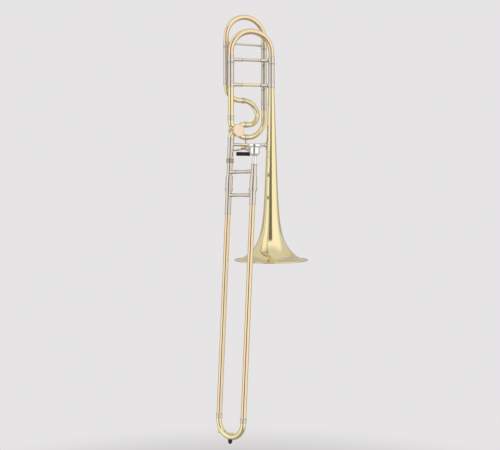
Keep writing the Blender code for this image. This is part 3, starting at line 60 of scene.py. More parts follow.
def spin(axis, degrees):
    """A right-handed turn about one main axis."""
    i, j = {"x": (1, 2), "y": (2, 0), "z": (0, 1)}[axis]
    c, s = math.cos(math.radians(degrees)), math.sin(math.radians(degrees))
    matrix = np.eye(4)
    matrix[i, i] = matrix[j, j] = c
    matrix[j, i], matrix[i, j] = s, -s
    return matrix


def unit(vectors):
    vectors = np.asarray(vectors, float)
    return vectors / np.linalg.norm(vectors, axis=-1, keepdims=True)


def at_place(home, at, x, y, z):
    """A frame at a place in home, with these directions of home as its axes."""
    local = np.eye(4)
    local[:3, :3] = np.stack((x, y, z), axis=1)
    local[:3, 3] = at
    return home @ local


def facing(home, at, direction):
    """A frame at a place in home, its Z along a direction there."""
    z = unit(direction)
    x = unit(np.cross(BACK if abs(z[1]) < 0.9 else AHEAD, z))
    return at_place(home, at, x, np.cross(z, x), z)


def square_to(home, at, x_axis, y_axis):
    """A frame at a place in home, with these directions of home as its X and Y."""
    x = unit(x_axis)
    y = unit(np.asarray(y_axis, float) - x * np.dot(x, y_axis))
    return at_place(home, at, x, y, np.cross(x, y))


def placed(points, home):
    return np.asarray(points) @ home[:3, :3].T + home[:3, 3]


SPAN = 119                           # between the axes of the neck and the bell
VALVE_HEIGHT, VALVE_TURN, VALVE_OFFSET = 376, 20.5, 16.5
RECEIVER_HEIGHT = 350
SLIDE_TILT, SLIDE_LEAN, SLIDE_TURN = 3.03, -2.7, -51.1
LEG_SPAN = 89

BELL = np.eye(4)
NECK = move(-SPAN)
VALVE = NECK @ move(z=VALVE_HEIGHT) @ spin("z", VALVE_TURN) @ move(VALVE_OFFSET)
SLIDE = NECK @ move(z=RECEIVER_HEIGHT) @ spin("y", SLIDE_TILT) @ spin("x", SLIDE_LEAN) @ spin("z", SLIDE_TURN)
LEGS = {"neck": SLIDE, "mouthpiece": SLIDE @ move(LEG_SPAN)}


# Lines and outlines

def softened(corners, reach, steps=6, closed=False, support=0.0):
    """Rounds the corners of a line. Each corner c becomes the curve (1-t)^2 a + 2t(1-t) c + t^2 b between the
    points a and b that lie up to reach away on its two sides. Support adds points further out, so that smooth
    shading stays near the corner."""
    points = np.asarray(corners, float)
    into = np.roll(points, 1, axis=0) - points
    out = np.roll(points, -1, axis=0) - points
    length_in = np.linalg.norm(into, axis=1, keepdims=True) + 1e-9
    length_out = np.linalg.norm(out, axis=1, keepdims=True) + 1e-9

    def beside(distance, share):
        distance = np.full_like(length_in, distance)
        before = points + into / length_in * np.minimum(distance, length_in * share)
        after = points + out / length_out * np.minimum(distance, length_out * share)
        return before, after

    a, b = beside(reach, 0.4)
    t = np.linspace(0, 1, steps + 1)[:, None, None]
    curve = (1 - t) ** 2 * a + 2 * t * (1 - t) * points + t ** 2 * b
    if support:
        before, after = beside(reach + support, 0.48)
        curve = np.concatenate((before[None], curve, after[None]))
    rows = len(curve)
    line = curve.transpose(1, 0, 2).reshape(-1, points.shape[1])
    return line if closed else np.concatenate((points[:1], line[rows:-rows], points[-1:]))


def eased(outline, ease=0.3, steps=3):
    """A turned outline with its edges broken, and rows beside each edge."""
    closed = outline[0][0] > 0
    return softened(outline, ease, steps, closed, support=max(ease, 0.25))


def bead(height, radius, size, steps=6):
    """Points down a half-round ring on an outline: radius + size sin a, height + size cos a."""
    angle = np.linspace(0, math.pi, steps + 1)
    return list(zip(radius + size * np.sin(angle), height + size * np.cos(angle)))


def guarded(outline, gap=0.4):
    """The same outline with a point just inside each end of its longer runs."""
    points = np.asarray(outline, float)
    runs = np.diff(points, axis=0)
    length = np.linalg.norm(runs, axis=1)
    filled = [[p, p + run * gap / size, p + run * (1 - gap / size)] if size > 4 * gap else [p]
              for p, run, size in zip(points, runs, length)]
    return np.concatenate(filled + [points[-1:]])


def mirrored(near, length):
    """A stay's outline: the half near its start, and the same at its far end."""
    return [(0, length)] + [(radius, length - height) for radius, height in reversed(near)] + near + [(0, 0)]


def pin(radius, low, high, ease=0.3):
    """The outline of a plain pin with eased ends."""
    return eased([(0, high), (radius, high), (radius, low), (0, low)], ease)


def oblong(width, length, steps=8):
    """The outline of a slot: a rectangle with half-round ends along Y."""
    r = width / 2
    angle = np.linspace(0, math.pi, steps + 1)
    top = np.column_stack((r * np.cos(angle), length / 2 - r + r * np.sin(angle)))
    return np.concatenate((top, -top))


class Route:
    """A centreline of straight runs and round bends."""

    def __init__(self, start, heading):
        self.parts = [np.array([start], float)]
        self.heading = unit(heading)

    def straight(self, length, steps=6):
        distance = np.linspace(0, length, steps + 1)[1:, None]
        self.parts.append(self.parts[-1][-1] + self.heading * distance)
        return self

    def bend(self, radius, degrees, toward, step=3.0):
        """An arc: start + radius (sin a · ahead + (1 - cos a) · side)."""
        side, ahead = unit(toward), self.heading
        angle = np.radians(np.linspace(0, degrees, max(4, int(degrees / step)) + 1)[1:, None])
        arc = radius * (np.sin(angle) * ahead + (1 - np.cos(angle)) * side)
        self.parts.append(self.parts[-1][-1] + arc)
        self.heading = ahead * math.cos(angle[-1, 0]) + side * math.sin(angle[-1, 0])
        return self

    def line(self):
        return np.concatenate(self.parts)


def coil_line(along, across, radius, pitch, turns, legs, height=0.0, per_turn=24):
    """A coil: pitch n along + radius (cos a · across + sin a · side), then a straight leg from each end."""
    along, across = unit(along), unit(across)
    side = np.cross(along, across)
    n = np.linspace(0, turns, turns * per_turn + 1)[:, None]
    angle = TAU * n
    turn = np.cos(angle) * across + np.sin(angle) * side
    coil = along * (height + pitch * (n - turns / 2)) + radius * turn
    leg = np.linspace(0, 1, 6)[:, None]
    first, last = coil[0] - side * legs[0] * (1 - leg[:-1]), coil[-1] + side * legs[1] * leg[1:]
    return np.concatenate((first, coil, last))


# Surfaces: each is a grid of points that is closed round its columns, with word of whether its rows close too

def lathe(outline, home, sides=64, relief=None):
    """Turns an outline of (radius, height) about the frame's Z: (r cos a, r sin a, h). Relief adds to r as a
    function of the angle and the height."""
    radius, height = np.asarray(outline, float).T
    angle = np.arange(sides) * TAU / sides
    r = radius[:, None] + np.zeros(sides)
    if relief:
        r = r + relief(angle[None, :], height[:, None]) * (radius[:, None] > 0)
    points = np.stack((r * np.cos(angle), r * np.sin(angle), height[:, None] + 0 * r), axis=-1)
    return placed(points, home), bool(radius[0] > 1e-4)


def straight_pipe(radius, wall, top, low, home, sides, steps):
    """An open tube, turned from the outline (r, top), (r, low), (r - wall, low), (r - wall, top), with points
    along each of its lines."""
    corners = np.array(((radius, top), (radius, low), (radius - wall, low), (radius - wall, top)))
    lines = np.linspace(corners, np.roll(corners, -1, axis=0), steps, endpoint=False)
    return lathe(lines.swapaxes(0, 1).reshape(-1, 2), home, sides)


def sweep(line, radius, home, sides=36, wall=None, reference=(0.31, 0.22, 0.92)):
    """Carries a circle along a line: line + r (cos a · side + sin a · up), both square to its tangent. A wall
    brings a smaller circle back inside, which makes an open tube. Without one the ends are closed."""
    line = np.asarray(line, float)
    tangent = unit(np.gradient(line, axis=0))
    side = unit(np.cross(tangent, reference))
    up = np.cross(side, tangent)
    angle = np.arange(sides) * TAU / sides
    around = np.cos(angle)[None, :, None] * side[:, None] + np.sin(angle)[None, :, None] * up[:, None]
    radius = np.broadcast_to(np.asarray(radius, float), (len(line),))[:, None, None]
    if wall:
        outer, inner = line[:, None] + radius * around, line[:, None] + (radius - wall) * around
        return placed(np.concatenate((outer, inner[::-1])), home), True
    ends = [np.repeat(line[i][None, None], sides, axis=1) for i in (0, -1)]
    return placed(np.concatenate((ends[0], line[:, None] + radius * around, ends[1])), home), False


def plate(outline, low, high, home, ease=0.3):
    """A flat plate with this outline in X and Y, which is shrunk towards its middle for the eased edges."""
    outline = np.asarray(outline, float)
    middle = outline.mean(axis=0)
    inset = 1 - ease / np.abs(outline - middle).max()
    levels = [(0, low), (inset, low), (1, low + ease), (1, high - ease), (inset, high), (0, high)]
    rows = [np.column_stack((middle + (outline - middle) * grow, np.full(len(outline), level)))
            for grow, level in levels]
    return placed(np.stack(rows), home), False


def shoe(inner, outer, spread, reach, home, ease=0.3):
    """A curved plate round the frame's Z: a rounded section of (radius, height), turned from -spread to
    +spread about the frame's X."""
    corners = [(inner, -reach), (outer, -reach), (outer, reach), (inner, reach)]
    section = softened(corners, ease, 3, closed=True, support=ease)
    angle = np.radians(np.linspace(-spread, spread, 25))[:, None]
    radius, height = section.T
    body = np.stack((radius * np.cos(angle), radius * np.sin(angle), height + 0 * angle), axis=-1)
    ends = [np.repeat(body[i].mean(axis=0)[None, None], len(section), axis=1) for i in (0, -1)]
    return placed(np.concatenate((ends[0], body, ends[1])), home), False


def joined_rod(start, end, outline, home=BELL, near=None, far=None, tube_axis=UP, sides=40):
    """A turned stay from one tube to another. Its outline runs from (0, length) down to (0, 0), and each
    point is held off the tubes' axes: the height is clipped to sqrt(R^2 - s^2), with s the distance square to
    rod and tube, and R the tube's radius, near the start or at the far end."""
    start, end = np.asarray(start, float), np.asarray(end, float)
    length = np.linalg.norm(end - start)
    z = (end - start) / length
    s_axis = unit(np.cross(z, tube_axis))
    x_axis = np.cross(s_axis, z)
    radius, height = guarded(outline).T
    angle = np.arange(sides) * TAU / sides
    x, s = radius[:, None] * np.cos(angle), radius[:, None] * np.sin(angle)
    h = height[:, None] + 0 * x
    if near:
        h = np.maximum(h, np.sqrt(np.maximum(near ** 2 - s ** 2, 0)))
    if far:
        h = np.minimum(h, length - np.sqrt(np.maximum(far ** 2 - s ** 2, 0)))
    points = start + x[..., None] * x_axis + s[..., None] * s_axis + h[..., None] * z
    return placed(points, home), False


# Pieces

def piece(name, body, finish, grids, stands_for=None, sharp=38):
    """Makes one closed mesh of several grids. Its UV map has metres along the rows and turns round the columns."""
    vertices, faces, uvs, offset = [], [], [], 0
    for points, ring in grids:
        points = points * MM
        rows, columns = points.shape[:2]
        i = np.arange(rows if ring else rows - 1)[:, None]
        j = np.arange(columns)[None, :]
        below, beside = (i + 1) % rows, (j + 1) % columns
        corners = (i * columns + j, i * columns + beside, below * columns + beside, below * columns + j)
        faces.append(np.stack(corners, -1).reshape(-1, 4) + offset)
        steps = np.linalg.norm(points - np.roll(points, -1, axis=0), axis=-1).mean(axis=1)
        along = np.concatenate(([0], np.cumsum(steps)))
        u = np.stack((along[i], along[i], along[i + 1], along[i + 1]), -1) + np.zeros((1, columns, 1))
        v = np.stack((j, j + 1, j + 1, j), -1) / columns + np.zeros((len(i), 1, 1))
        uvs.append(np.stack((u, v), -1).reshape(-1, 2))
        vertices.append(points.reshape(-1, 3))
        offset += rows * columns
    mesh = bpy.data.meshes.new(name)
    mesh.from_pydata(np.concatenate(vertices).tolist(), [], np.concatenate(faces).tolist())
    layer = mesh.uv_layers.new(name="surface")
    layer.data.foreach_set("uv", np.concatenate(uvs).astype(np.float32).ravel())
    close_up(mesh)
    mark_inside_folds(mesh)
    mesh.polygons.foreach_set("use_smooth", np.ones(len(mesh.polygons), bool))
    mesh.set_sharp_from_angle(angle=math.radians(sharp))
    material, slot = FINISHES[finish]
    mesh.materials.append(material)
    obj = bpy.data.objects.new(name, mesh)
    bpy.context.scene.collection.objects.link(obj)
    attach(obj, body)
    if stands_for:
        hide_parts(stands_for)


def turned(name, body, finish, outline, home, sides, stands_for, ease=0.2, sharp=38):
    """A piece that is one turned outline with eased edges."""
    piece(name, body, finish, [lathe(eased(outline, ease), home, sides)], stands_for, sharp)


def bent_tube(name, body, finish, route, radius, home, stands_for, square=BACK, sides=44):
    """A piece that is one open tube along a route. Square is a direction square to its bends."""
    piece(name, body, finish, [sweep(route.line(), radius, home, sides, TUBE_WALL, square)], stands_for)


def close_up(mesh):
    """Merges the points at seams and poles, and turns the faces outwards."""
    shape = bmesh.new()
    shape.from_mesh(mesh)
    bmesh.ops.remove_doubles(shape, verts=shape.verts, dist=1e-6)
    bmesh.ops.dissolve_degenerate(shape, edges=shape.edges, dist=1e-7)
    bmesh.ops.recalc_face_normals(shape, faces=shape.faces)
    shape.to_mesh(mesh)
    shape.free()


def mark_inside_folds(mesh):
    """Marks inside corners, from 0 to 1, on the attribute seam, which the metals darken as painted shade and
    tarnish. Each edge adds n · d / |d|, where n is the normal at one end and d runs to the other: it is above 0
    where the surface folds inwards."""
    where = np.empty(len(mesh.vertices) * 3)
    mesh.vertices.foreach_get("co", where)
    where = where.reshape(-1, 3)
    normals = np.empty(len(mesh.vertices) * 3, np.float32)
    mesh.vertex_normals.foreach_get("vector", normals)
    normals = normals.reshape(-1, 3)
    ends = np.empty(len(mesh.edges) * 2, np.int32)
    mesh.edges.foreach_get("vertices", ends)
    a, b = ends.reshape(-1, 2).T
    d = unit(where[b] - where[a])
    fold = np.zeros(len(where))
    np.add.at(fold, a, np.maximum((normals[a] * d).sum(axis=1), 0))
    np.add.at(fold, b, np.maximum((normals[b] * -d).sum(axis=1), 0))
    # fold mask for the metals' painted shade and tarnish in inside corners
    layer = mesh.attributes.new("seam", "FLOAT", "POINT")
    layer.data.foreach_set("value", np.clip(fold * 2 - 0.5, 0, 1).astype(np.float32))


# Materials

class Wire:
    """A shader socket in a Python expression: each operator adds one Math node to its tree."""

    def __init__(self, shader, socket):
        self.shader, self.socket = shader, socket

    def math(self, operation, first, second):
        return self.shader.add("Math", {"operation": operation}, {0: first, 1: second})

    def __add__(self, other):
        return self.math("ADD", self, other)

    def __sub__(self, other):
        return self.math("SUBTRACT", self, other)

    def __mul__(self, other):
        return self.math("MULTIPLY", self, other)

    def __truediv__(self, other):
        return self.math("DIVIDE", self, other)

    def __pow__(self, other):
        return self.math("POWER", self, other)

    def __radd__(self, other):
        return self.math("ADD", other, self)

    def __rsub__(self, other):
        return self.math("SUBTRACT", other, self)

    def __rmul__(self, other):
        return self.math("MULTIPLY", other, self)

    def at_least(self, other):
        return self.math("MAXIMUM", self, other)

    def clamped(self):
        return self.shader.add("Clamp", {}, {"Value": self})


def set_stops(elements, stops):
    while len(elements) < len(stops):
        elements.new(0.5)
    for element, (position, level) in zip(elements, stops):
        element.position, element.color = position, (level, level, level, 1)


class Shader:
    """A node tree, to which every node comes through add."""

    def __init__(self, tree):
        self.tree = tree

    def add(self, kind, settings=None, inputs=None, output=0):
        """Adds a node: first its settings, where stops are a ramp's (position, level) pairs, then sockets."""
        node = self.tree.nodes.new("ShaderNode" + kind)
        for key, value in (settings or {}).items():
            if key == "stops":
                set_stops(node.color_ramp.elements, value)
            else:
                setattr(node, key, value)
        for key, value in (inputs or {}).items():
            self.feed(node.inputs[key], value)
        return Wire(self, node.outputs[output])

    def feed(self, socket, value):
        if isinstance(value, Wire):
            self.tree.links.new(value.socket, socket)
        elif socket.type == "RGBA":
            socket.default_value = (*value[:3], 1)
        else:
            socket.default_value = value

    def noise(self, scale, vector, detail=3.0, roughness=0.5, stretch=None):
        """Noise from 0 to 1 about 0.5, on metres. Stretch scales the coordinates first."""
        if stretch:
            vector = self.add("Mapping", {}, {"Vector": vector, "Scale": stretch})
        sockets = {"Vector": vector, "Scale": scale, "Detail": detail, "Roughness": roughness}
        return self.add("TexNoise", {}, sockets)

    def blend(self, amount, first, second):
        """A colour between two: first where the amount is 0, second where it is 1."""
        return self.add("Mix", {"data_type": "RGBA"}, {0: amount, 6: first, 7: second}, output=2)

    def ramp(self, value, *stops):
        """Straight lines between (position, level) stops."""
        return self.add("ValToRGB", {"stops": stops}, {0: value})

    def between(self, amount, first, second):
        """One surface or light fading into another."""
        return self.add("MixShader", {}, {0: amount, 1: first, 2: second})


class Finish(Shader):
    """A material with a Principled surface."""

    def __init__(self, name, colour):
        self.material = bpy.data.materials.new(name)
        self.material.use_nodes = True
        self.material.diffuse_color = (*colour, 1)
        super().__init__(self.material.node_tree)
        self.surface = self.tree.nodes["Principled BSDF"]
        self.output = self.tree.nodes["Material Output"].inputs[0]

    def set(self, **values):
        for name, value in values.items():
            self.feed(self.surface.inputs[name.replace("_", " ")], value)

    def bump(self, height, distance, strength):
        return self.add("Bump", {}, {"Height": height, "Distance": distance, "Strength": strength})

    def place(self):
        return self.add("TexCoord", output=3)

    def surface_map(self):
        return self.add("UVMap", {"uv_map": "surface"})


def metal(name, colours, polish, lines, lacquer=0.0, grain=1.0):
    """Polished metal. The colour drifts between pale and deep over some centimetres, polishing marks run round or
    along the piece, faint smears of handling change the roughness, and the inside corners are darkened, partly as
    tarnish and partly as painted shade. Lines gives the marks' frequency along the piece and round it."""
    pale, deep = colours
    s = Finish(name, pale)
    where = s.place()
    drift = s.noise(14, where, 2.0)
    marks = s.noise(1.0, s.surface_map(), 2.0, 0.6, stretch=lines)
    smears = s.noise(60, where, 4.0, 0.62)
    amount = ((drift - 0.35) * 2.2).clamped() * 0.55 + (marks - 0.5) * 0.25
    seam = s.add("Attribute", {"attribute_name": "seam"}, {}, output=2)
    # painted shade and tarnish: inside corners darken towards 0.22 of the deep colour, by up to 0.85
    tarnish_and_shade = tuple(0.22 * level for level in deep)
    s.set(Base_Color=s.blend(seam * 0.85, s.blend(amount.clamped(), pale, deep), tarnish_and_shade))
    s.set(Metallic=1.0, Roughness=(polish + (smears - 0.5) * 0.09 + (marks - 0.5) * 0.07).clamped())
    s.set(Normal=s.bump(marks * 0.6 + smears * 0.4, 0.000003 * grain, 0.5))
    if lacquer:
        s.set(Coat_Weight=lacquer, Coat_Roughness=0.04)
    return s.material


def machined_brass():
    """Machined brass for a CAD piece: it has no UV map for rings round its shaft, so a fine even grain."""
    s = Finish("machined_brass", (0.73, 0.57, 0.24))
    where = s.place()
    grain, drift = s.noise(1500, where, 3.0), s.noise(40, where, 2.0)
    s.set(Base_Color=s.blend(drift, (0.76, 0.60, 0.28), (0.62, 0.46, 0.19)), Metallic=1.0)
    s.set(Roughness=0.25 + grain * 0.15, Normal=s.bump(grain, 0.00003, 0.5))
    return s.material


def rubber():
    """Black rubber: a fine moulded grain, and paler dust where it drifts."""
    s = Finish("moulded_rubber", (0.02, 0.02, 0.02))
    where = s.place()
    grain, dust = s.noise(2500, where, 2.0), s.noise(260, where, 4.0)
    s.set(Base_Color=s.blend(((dust - 0.45) * 1.6).clamped(), (0.012, 0.012, 0.013), (0.045, 0.043, 0.042)))
    s.set(Roughness=0.55 + grain * 0.15, Normal=s.bump(grain, 0.00006, 0.6))
    return s.material


def rosewood():
    """Dark oiled wood, its grain drawn out along X, with fine pores."""
    s = Finish("oiled_rosewood", (0.05, 0.02, 0.015))
    where = s.place()
    grain = s.noise(1.0, where, 4.0, 0.6, stretch=(60, 900, 900))
    pores = s.noise(1.0, where, 1.0, 0.5, stretch=(500, 6000, 6000))
    s.set(Base_Color=s.blend(((grain - 0.35) * 2.4).clamped(), (0.014, 0.004, 0.003), (0.070, 0.016, 0.009)))
    s.set(Roughness=0.45 + pores * 0.2, Normal=s.bump(pores * 0.7 + grain * 0.3, 0.00008, 0.5))
    s.set(Specular_IOR_Level=0.3)
    return s.material


def cork():
    """Natural cork: pale cells, with dark pits."""
    s = Finish("natural_cork", (0.48, 0.32, 0.18))
    where = s.place()
    cells = s.add("TexVoronoi", {}, {"Vector": where, "Scale": 1400.0})
    pits = s.noise(420, where, 3.0)
    s.set(Base_Color=s.blend(((pits - 0.5) * 3).clamped(), (0.50, 0.34, 0.20), (0.16, 0.09, 0.05)))
    s.set(Roughness=0.85, Normal=s.bump(cells + pits, 0.0001, 0.7))
    return s.material


ALONG, ROUND = (4.0, 220.0, 1.0), (2600.0, 0.6, 1.0)
YELLOW = ((0.89, 0.775, 0.47), (0.86, 0.73, 0.38))
GOLD = ((0.88, 0.70, 0.47), (0.82, 0.61, 0.36))
ROSE = ((0.90, 0.71, 0.55), (0.85, 0.64, 0.48))
NICKEL = ((0.74, 0.67, 0.59), (0.65, 0.58, 0.50))
DULL_NICKEL = ((0.62, 0.55, 0.42), (0.46, 0.39, 0.28))
SILVER = ((0.95, 0.945, 0.93), (0.88, 0.87, 0.84))
CHROME = ((0.78, 0.79, 0.80), (0.68, 0.69, 0.70))
STEEL = ((0.55, 0.55, 0.56), (0.42, 0.42, 0.43))
FINISHES = {
    "brass_tube": (metal("lacquered_yellow_brass", YELLOW, 0.12, ALONG, 0.15), "yellow_brass"),
    "brass_spun": (metal("spun_yellow_brass", YELLOW, 0.12, ROUND, 0.15, 1.2), "yellow_brass"),
    "gold_tube": (metal("lacquered_gold_brass", GOLD, 0.12, ALONG, 0.15), "gold_brass"),
    "nickel_turned": (metal("turned_nickel_silver", NICKEL, 0.13, ROUND), "nickel_silver"),
    "nickel_drawn": (metal("drawn_nickel_silver", NICKEL, 0.13, ALONG), "nickel_silver"),
    "knurled": (metal("knurled_nickel_silver", DULL_NICKEL, 0.28, ROUND), "nickel_silver"),
    "silver": (metal("silver_plating", SILVER, 0.10, ROUND), "silver_plate"),
    "rose_cap": (metal("brushed_rose_brass", ROSE, 0.36, ROUND, 0.1, 2.0), "rose_brass"),
    "chrome": (metal("hard_chrome", CHROME, 0.10, ALONG), "chrome_plate"),
    "steel_wire": (metal("drawn_spring_steel", STEEL, 0.25, ALONG), "spring_steel"),
    "rubber": (rubber(), "black_rubber"),
    "rosewood": (rosewood(), "dark_wood"),
    "cork": (cork(), "cork"),
}


# Fits that several pieces share

TUBE_WALL = 0.6
FERRULE_WALL = 0.7
SOLDER_GAP = 0.3       # between a tube and the ferrule or socket round it
RUNNING_GAP = 0.4      # between a slide's leg and its sleeve
END_GAP = 0.15         # of a tube's end from the middle of the joint that its ferrule covers
BOW_INSERT = 10        # length of a bow's end inside its ferrule
TUBE_IN_SLEEVE = 12.2  # length of a tube's end inside its slide's sleeve
NECK_RADIUS = 8.5
F_RADIUS = 7.3


# Bell

BELL_RADIUS, BELL_LENGTH, STEM_BASE, STEM_RADIUS = 108, 511, 498, 8.6
STEM_TAPER = 0.0355                  # radius gained for each millimetre towards the mouth
LIP, LIP_FADE, FLARE_FADE = 15, 6, 40
RIM = 1.75


def bell_radius(height):
    """A straight end, a taper, and a flare and a lip that fade upwards as exp(-h/40) and exp(-h/6)."""
    taper = STEM_RADIUS + STEM_TAPER * np.maximum(0, STEM_BASE - height)
    flare = BELL_RADIUS - STEM_RADIUS - STEM_TAPER * STEM_BASE - LIP
    return taper + flare * np.exp(-height / FLARE_FADE) + LIP * np.exp(-height / LIP_FADE)


def bell():
    """Down the outside, round the rim's wire, and back up the inside, one wall in along the normal."""
    lowest = 0.75 * RIM
    down = (1 - np.linspace(0, 1, 110)) ** 2.4
    height = np.concatenate(([BELL_LENGTH, STEM_BASE + 4], lowest + (STEM_BASE - lowest) * down))
    outer = np.column_stack((bell_radius(height), height))
    angle = np.radians(np.linspace(150, -90, 16))
    rim = np.column_stack((BELL_RADIUS - RIM + RIM * np.cos(angle), RIM + RIM * np.sin(angle)))
    slope = np.gradient(outer[:, 0], outer[:, 1])
    inwards = np.column_stack((-np.ones_like(slope), slope)) / np.hypot(1, slope)[:, None]
    inner = (outer + inwards * TUBE_WALL)[::-1]
    inner = inner[inner[:, 0] < BELL_RADIUS - 1.5 * RIM]
    piece("bell_flare", "bell_section", "brass_spun", [lathe(np.concatenate((outer, rim, inner)), BELL, 180)],
          "bell", 60)


# Slides' sleeves, legs and joints

def sleeve(name, home, base, length, leg, stem, stands_for):
    """An outer slide tube with a ferrule at its foot and beaded rings at its mouth."""
    bore, socket = FACET * (leg + RUNNING_GAP), FACET * (stem + SOLDER_GAP)
    outer, ferrule = bore + TUBE_WALL, max(socket, bore) + FERRULE_WALL
    top = base + length
    outline = [(outer + 0.45, top), (outer + 0.45, top - 0.9)] + bead(top - 1.7, outer + 0.15, 0.5, 8)
    outline += [(outer + 0.35, top - 2.4), (outer + 0.35, top - 3.0), (outer, top - 3.4)]
    band, seat = ferrule - 0.1, base + 12.5
    outline += [(outer, base + 20), (band, base + 19.3)] + bead(base + 18.5, ferrule - 0.2, 0.4)
    outline += [(band, base + 17.9), (band, base + 1.4)] + bead(base + 0.9, ferrule - 0.2, 0.4)
    outline += [(ferrule - 0.2, base), (socket, base), (socket, seat), (bore, seat), (bore, top)]
    turned(name, "bell_section", "nickel_turned", outline, home, 56, stands_for, 0.15)


def bow_leg(name, body, home, base, leg, bow, ferrule_length, insert, stands_for):
    """An inner leg, with the bow's ferrule on top. It gives back the ferrule's radius."""
    socket = FACET * (bow + SOLDER_GAP)
    ferrule, inner = socket + FERRULE_WALL, leg - TUBE_WALL
    top = base + ferrule_length
    outline = [(ferrule - 0.2, top)] + bead(top - 0.5, ferrule - 0.25, 0.35)
    outline += [(ferrule, top - 1.1), (ferrule, base + 1.2)] + bead(base + 0.7, ferrule - 0.2, 0.4)
    outline += [(ferrule - 0.2, base), (leg, base), (leg, base - insert), (inner, base - insert)]
    outline += [(inner, top - BOW_INSERT), (socket, top - BOW_INSERT), (socket, top)]
    turned(name, body, "nickel_turned", outline, home, 56, stands_for, 0.15)
    return ferrule


def ring_joint(name, home, low, high, tube, stands_for, body="bell_section", shoulder=0.25, sides=52):
    """A ferrule over a joint of two tubes: a band with a bead at each end."""
    bore = FACET * (tube + SOLDER_GAP)
    ring = bore + FERRULE_WALL
    outline = [(ring - shoulder, high)] + bead(high - 0.7, ring - 0.3, 0.4)
    outline += [(ring - 0.1, high - 1.3), (ring - 0.1, low + 1.3)] + bead(low + 0.7, ring - 0.3, 0.4)
    outline += [(ring - shoulder, low), (bore, low), (bore, high)]
    turned(name, body, "nickel_turned", outline, home, sides, stands_for, 0.12)


# Main tuning slide and neck

TUNING_BASE, TUNING_SLEEVE = 499, 70
TUNING_LEG, TUNING_BOW, TUNING_FERRULE = 8.1, 8.3, 20


def tuning_slide():
    base = TUNING_BASE + TUNING_SLEEVE + SOLDER_GAP
    for side, home, stem in (("neck", NECK, NECK_RADIUS), ("bell", BELL, STEM_RADIUS)):
        sleeve(f"tuning_{side}_sleeve", home, TUNING_BASE, TUNING_SLEEVE, TUNING_LEG, stem,
               f"tuning_sleeve_{side}")
        ferrule = bow_leg(f"tuning_{side}_leg", "tuning_slide", home, base, TUNING_LEG, TUNING_BOW,
                          TUNING_FERRULE, 46, f"tuning_leg_{side}")
    top = base + TUNING_FERRULE
    rise = 20.2
    route = Route((-SPAN, 0, top - BOW_INSERT + SOLDER_GAP), UP)
    route.straight(rise).bend(SPAN / 2, 180, AHEAD).straight(rise)
    bent_tube("tuning_bend", "tuning_slide", "gold_tube", route, TUNING_BOW, BELL, "tuning_bow", sides=48)
    height, seat = top - 11.5, ferrule - 0.05
    outline = tuning_stay(4.2, 5.0, 24, ferrule)
    stay = joined_rod((-SPAN, 0, height), (0, 0, height), outline, near=seat, far=seat)
    piece("tuning_slide_stay", "tuning_slide", "nickel_turned", [stay], "tuning_bow_brace")


def tuning_stay(rod, socket, reach, ferrule):
    """A rod with a long socket at each end, with a turned ring where the rod enters it."""
    mouth = ferrule + reach
    near = [(rod, mouth + 0.5)] + bead(mouth - 0.6, socket - 0.1, 0.5)
    near += [(socket, mouth - 1.5), (socket, ferrule + 4.5), (socket * 1.04, ferrule + 2.8)]
    near += [(socket * 1.12, ferrule + 1.2), (socket * 1.22, ferrule * 0.9), (socket * 1.22, 0)]
    return mirrored(near, SPAN)


def neck():
    joint = VALVE_HEIGHT + 35.75
    top = TUNING_BASE + TUBE_IN_SLEEVE
    pipe = straight_pipe(NECK_RADIUS, TUBE_WALL, top, joint + END_GAP, NECK, 56, 6)
    piece("neck_pipe", "bell_section", "brass_tube", [pipe], "neck_tube")
    half = 7.25
    ring_joint("neck_joint_ring", NECK, joint - half, joint + half, NECK_RADIUS, "neck_ferrule",
               shoulder=0.3, sides=56)


# Rotary valve. Its axes: X to the right along the ports, Z up, Y back along the rotor's shaft

ALONG_SHAFT = VALVE @ spin("x", -90)           # its Z runs back along the shaft
CHAMBER = 11.8                                 # half the length of the rotor's chamber
CASING_FRONT, CASING_BACK = -15.4, 14.8
CASING_RADIUS, CHAMBER_RADIUS, CAP_THREAD = 17, 15, 15.62
SHAFT_HOLE = 3.36
ARM_LOW, ARM_HIGH = CASING_BACK + 0.3, CASING_BACK + 3.3   # depths of the stop plate
STOP_ANGLE, CRANK_ANGLE, CRANK_REACH = 67.6, 225, 8
F_PORT, F_PORT_END = 18, 33.85                 # the F ports' axes above and below the middle, and their ends
PORTS = (  # side, level, tube radius, bend radius, distance of the neighbour's axis, end of the tube
    (-1, 1, NECK_RADIUS, 13.7, 16.5, 35.6),
    (-1, -1, NECK_RADIUS, 13.7, 16.5, 26),
    (1, 1, F_RADIUS, 18.8, F_PORT, F_PORT_END),
    (1, -1, F_RADIUS, 18.8, F_PORT, F_PORT_END),
)


def polar(radius, degrees, depth=0.0):
    """A place in the valve's frame, by its angle in the port plane: (r cos a, depth, r sin a)."""
    angle = math.radians(degrees)
    return np.array((radius * math.cos(angle), depth, radius * math.sin(angle)))


def knuckle(side, level, radius, bend_radius, port, end):
    """A port's tube: out of the casing on the diagonal, then bent by 45 degrees onto its neighbour's axis."""
    out = unit((side, 0, level))
    drop = bend_radius * math.sin(math.radians(45))
    corner = port - bend_radius * (1 - math.cos(math.radians(45)))
    inside = 8
    route = Route(corner * np.array((side, 0, level)) - out * inside, out).straight(inside, 3)
    route.bend(bend_radius, 45, (1, 0, -side * level)).straight(end - corner - drop)
    return sweep(route.line(), radius, VALVE, 44, TUBE_WALL, BACK)


def collar(side, level, radius):
    """The solder fillet where a port's tube meets the casing."""
    outline = [(radius - 0.1, 3.2), (radius + 0.5, 1.6), (radius + 1.3, 0.2)]
    outline += [(radius + 1.4, -3.5), (radius - 0.1, -3.5)]
    out = (side, 0, level)
    return lathe(eased(outline, 0.4), facing(VALVE, unit(out) * CASING_RADIUS, out), 44)


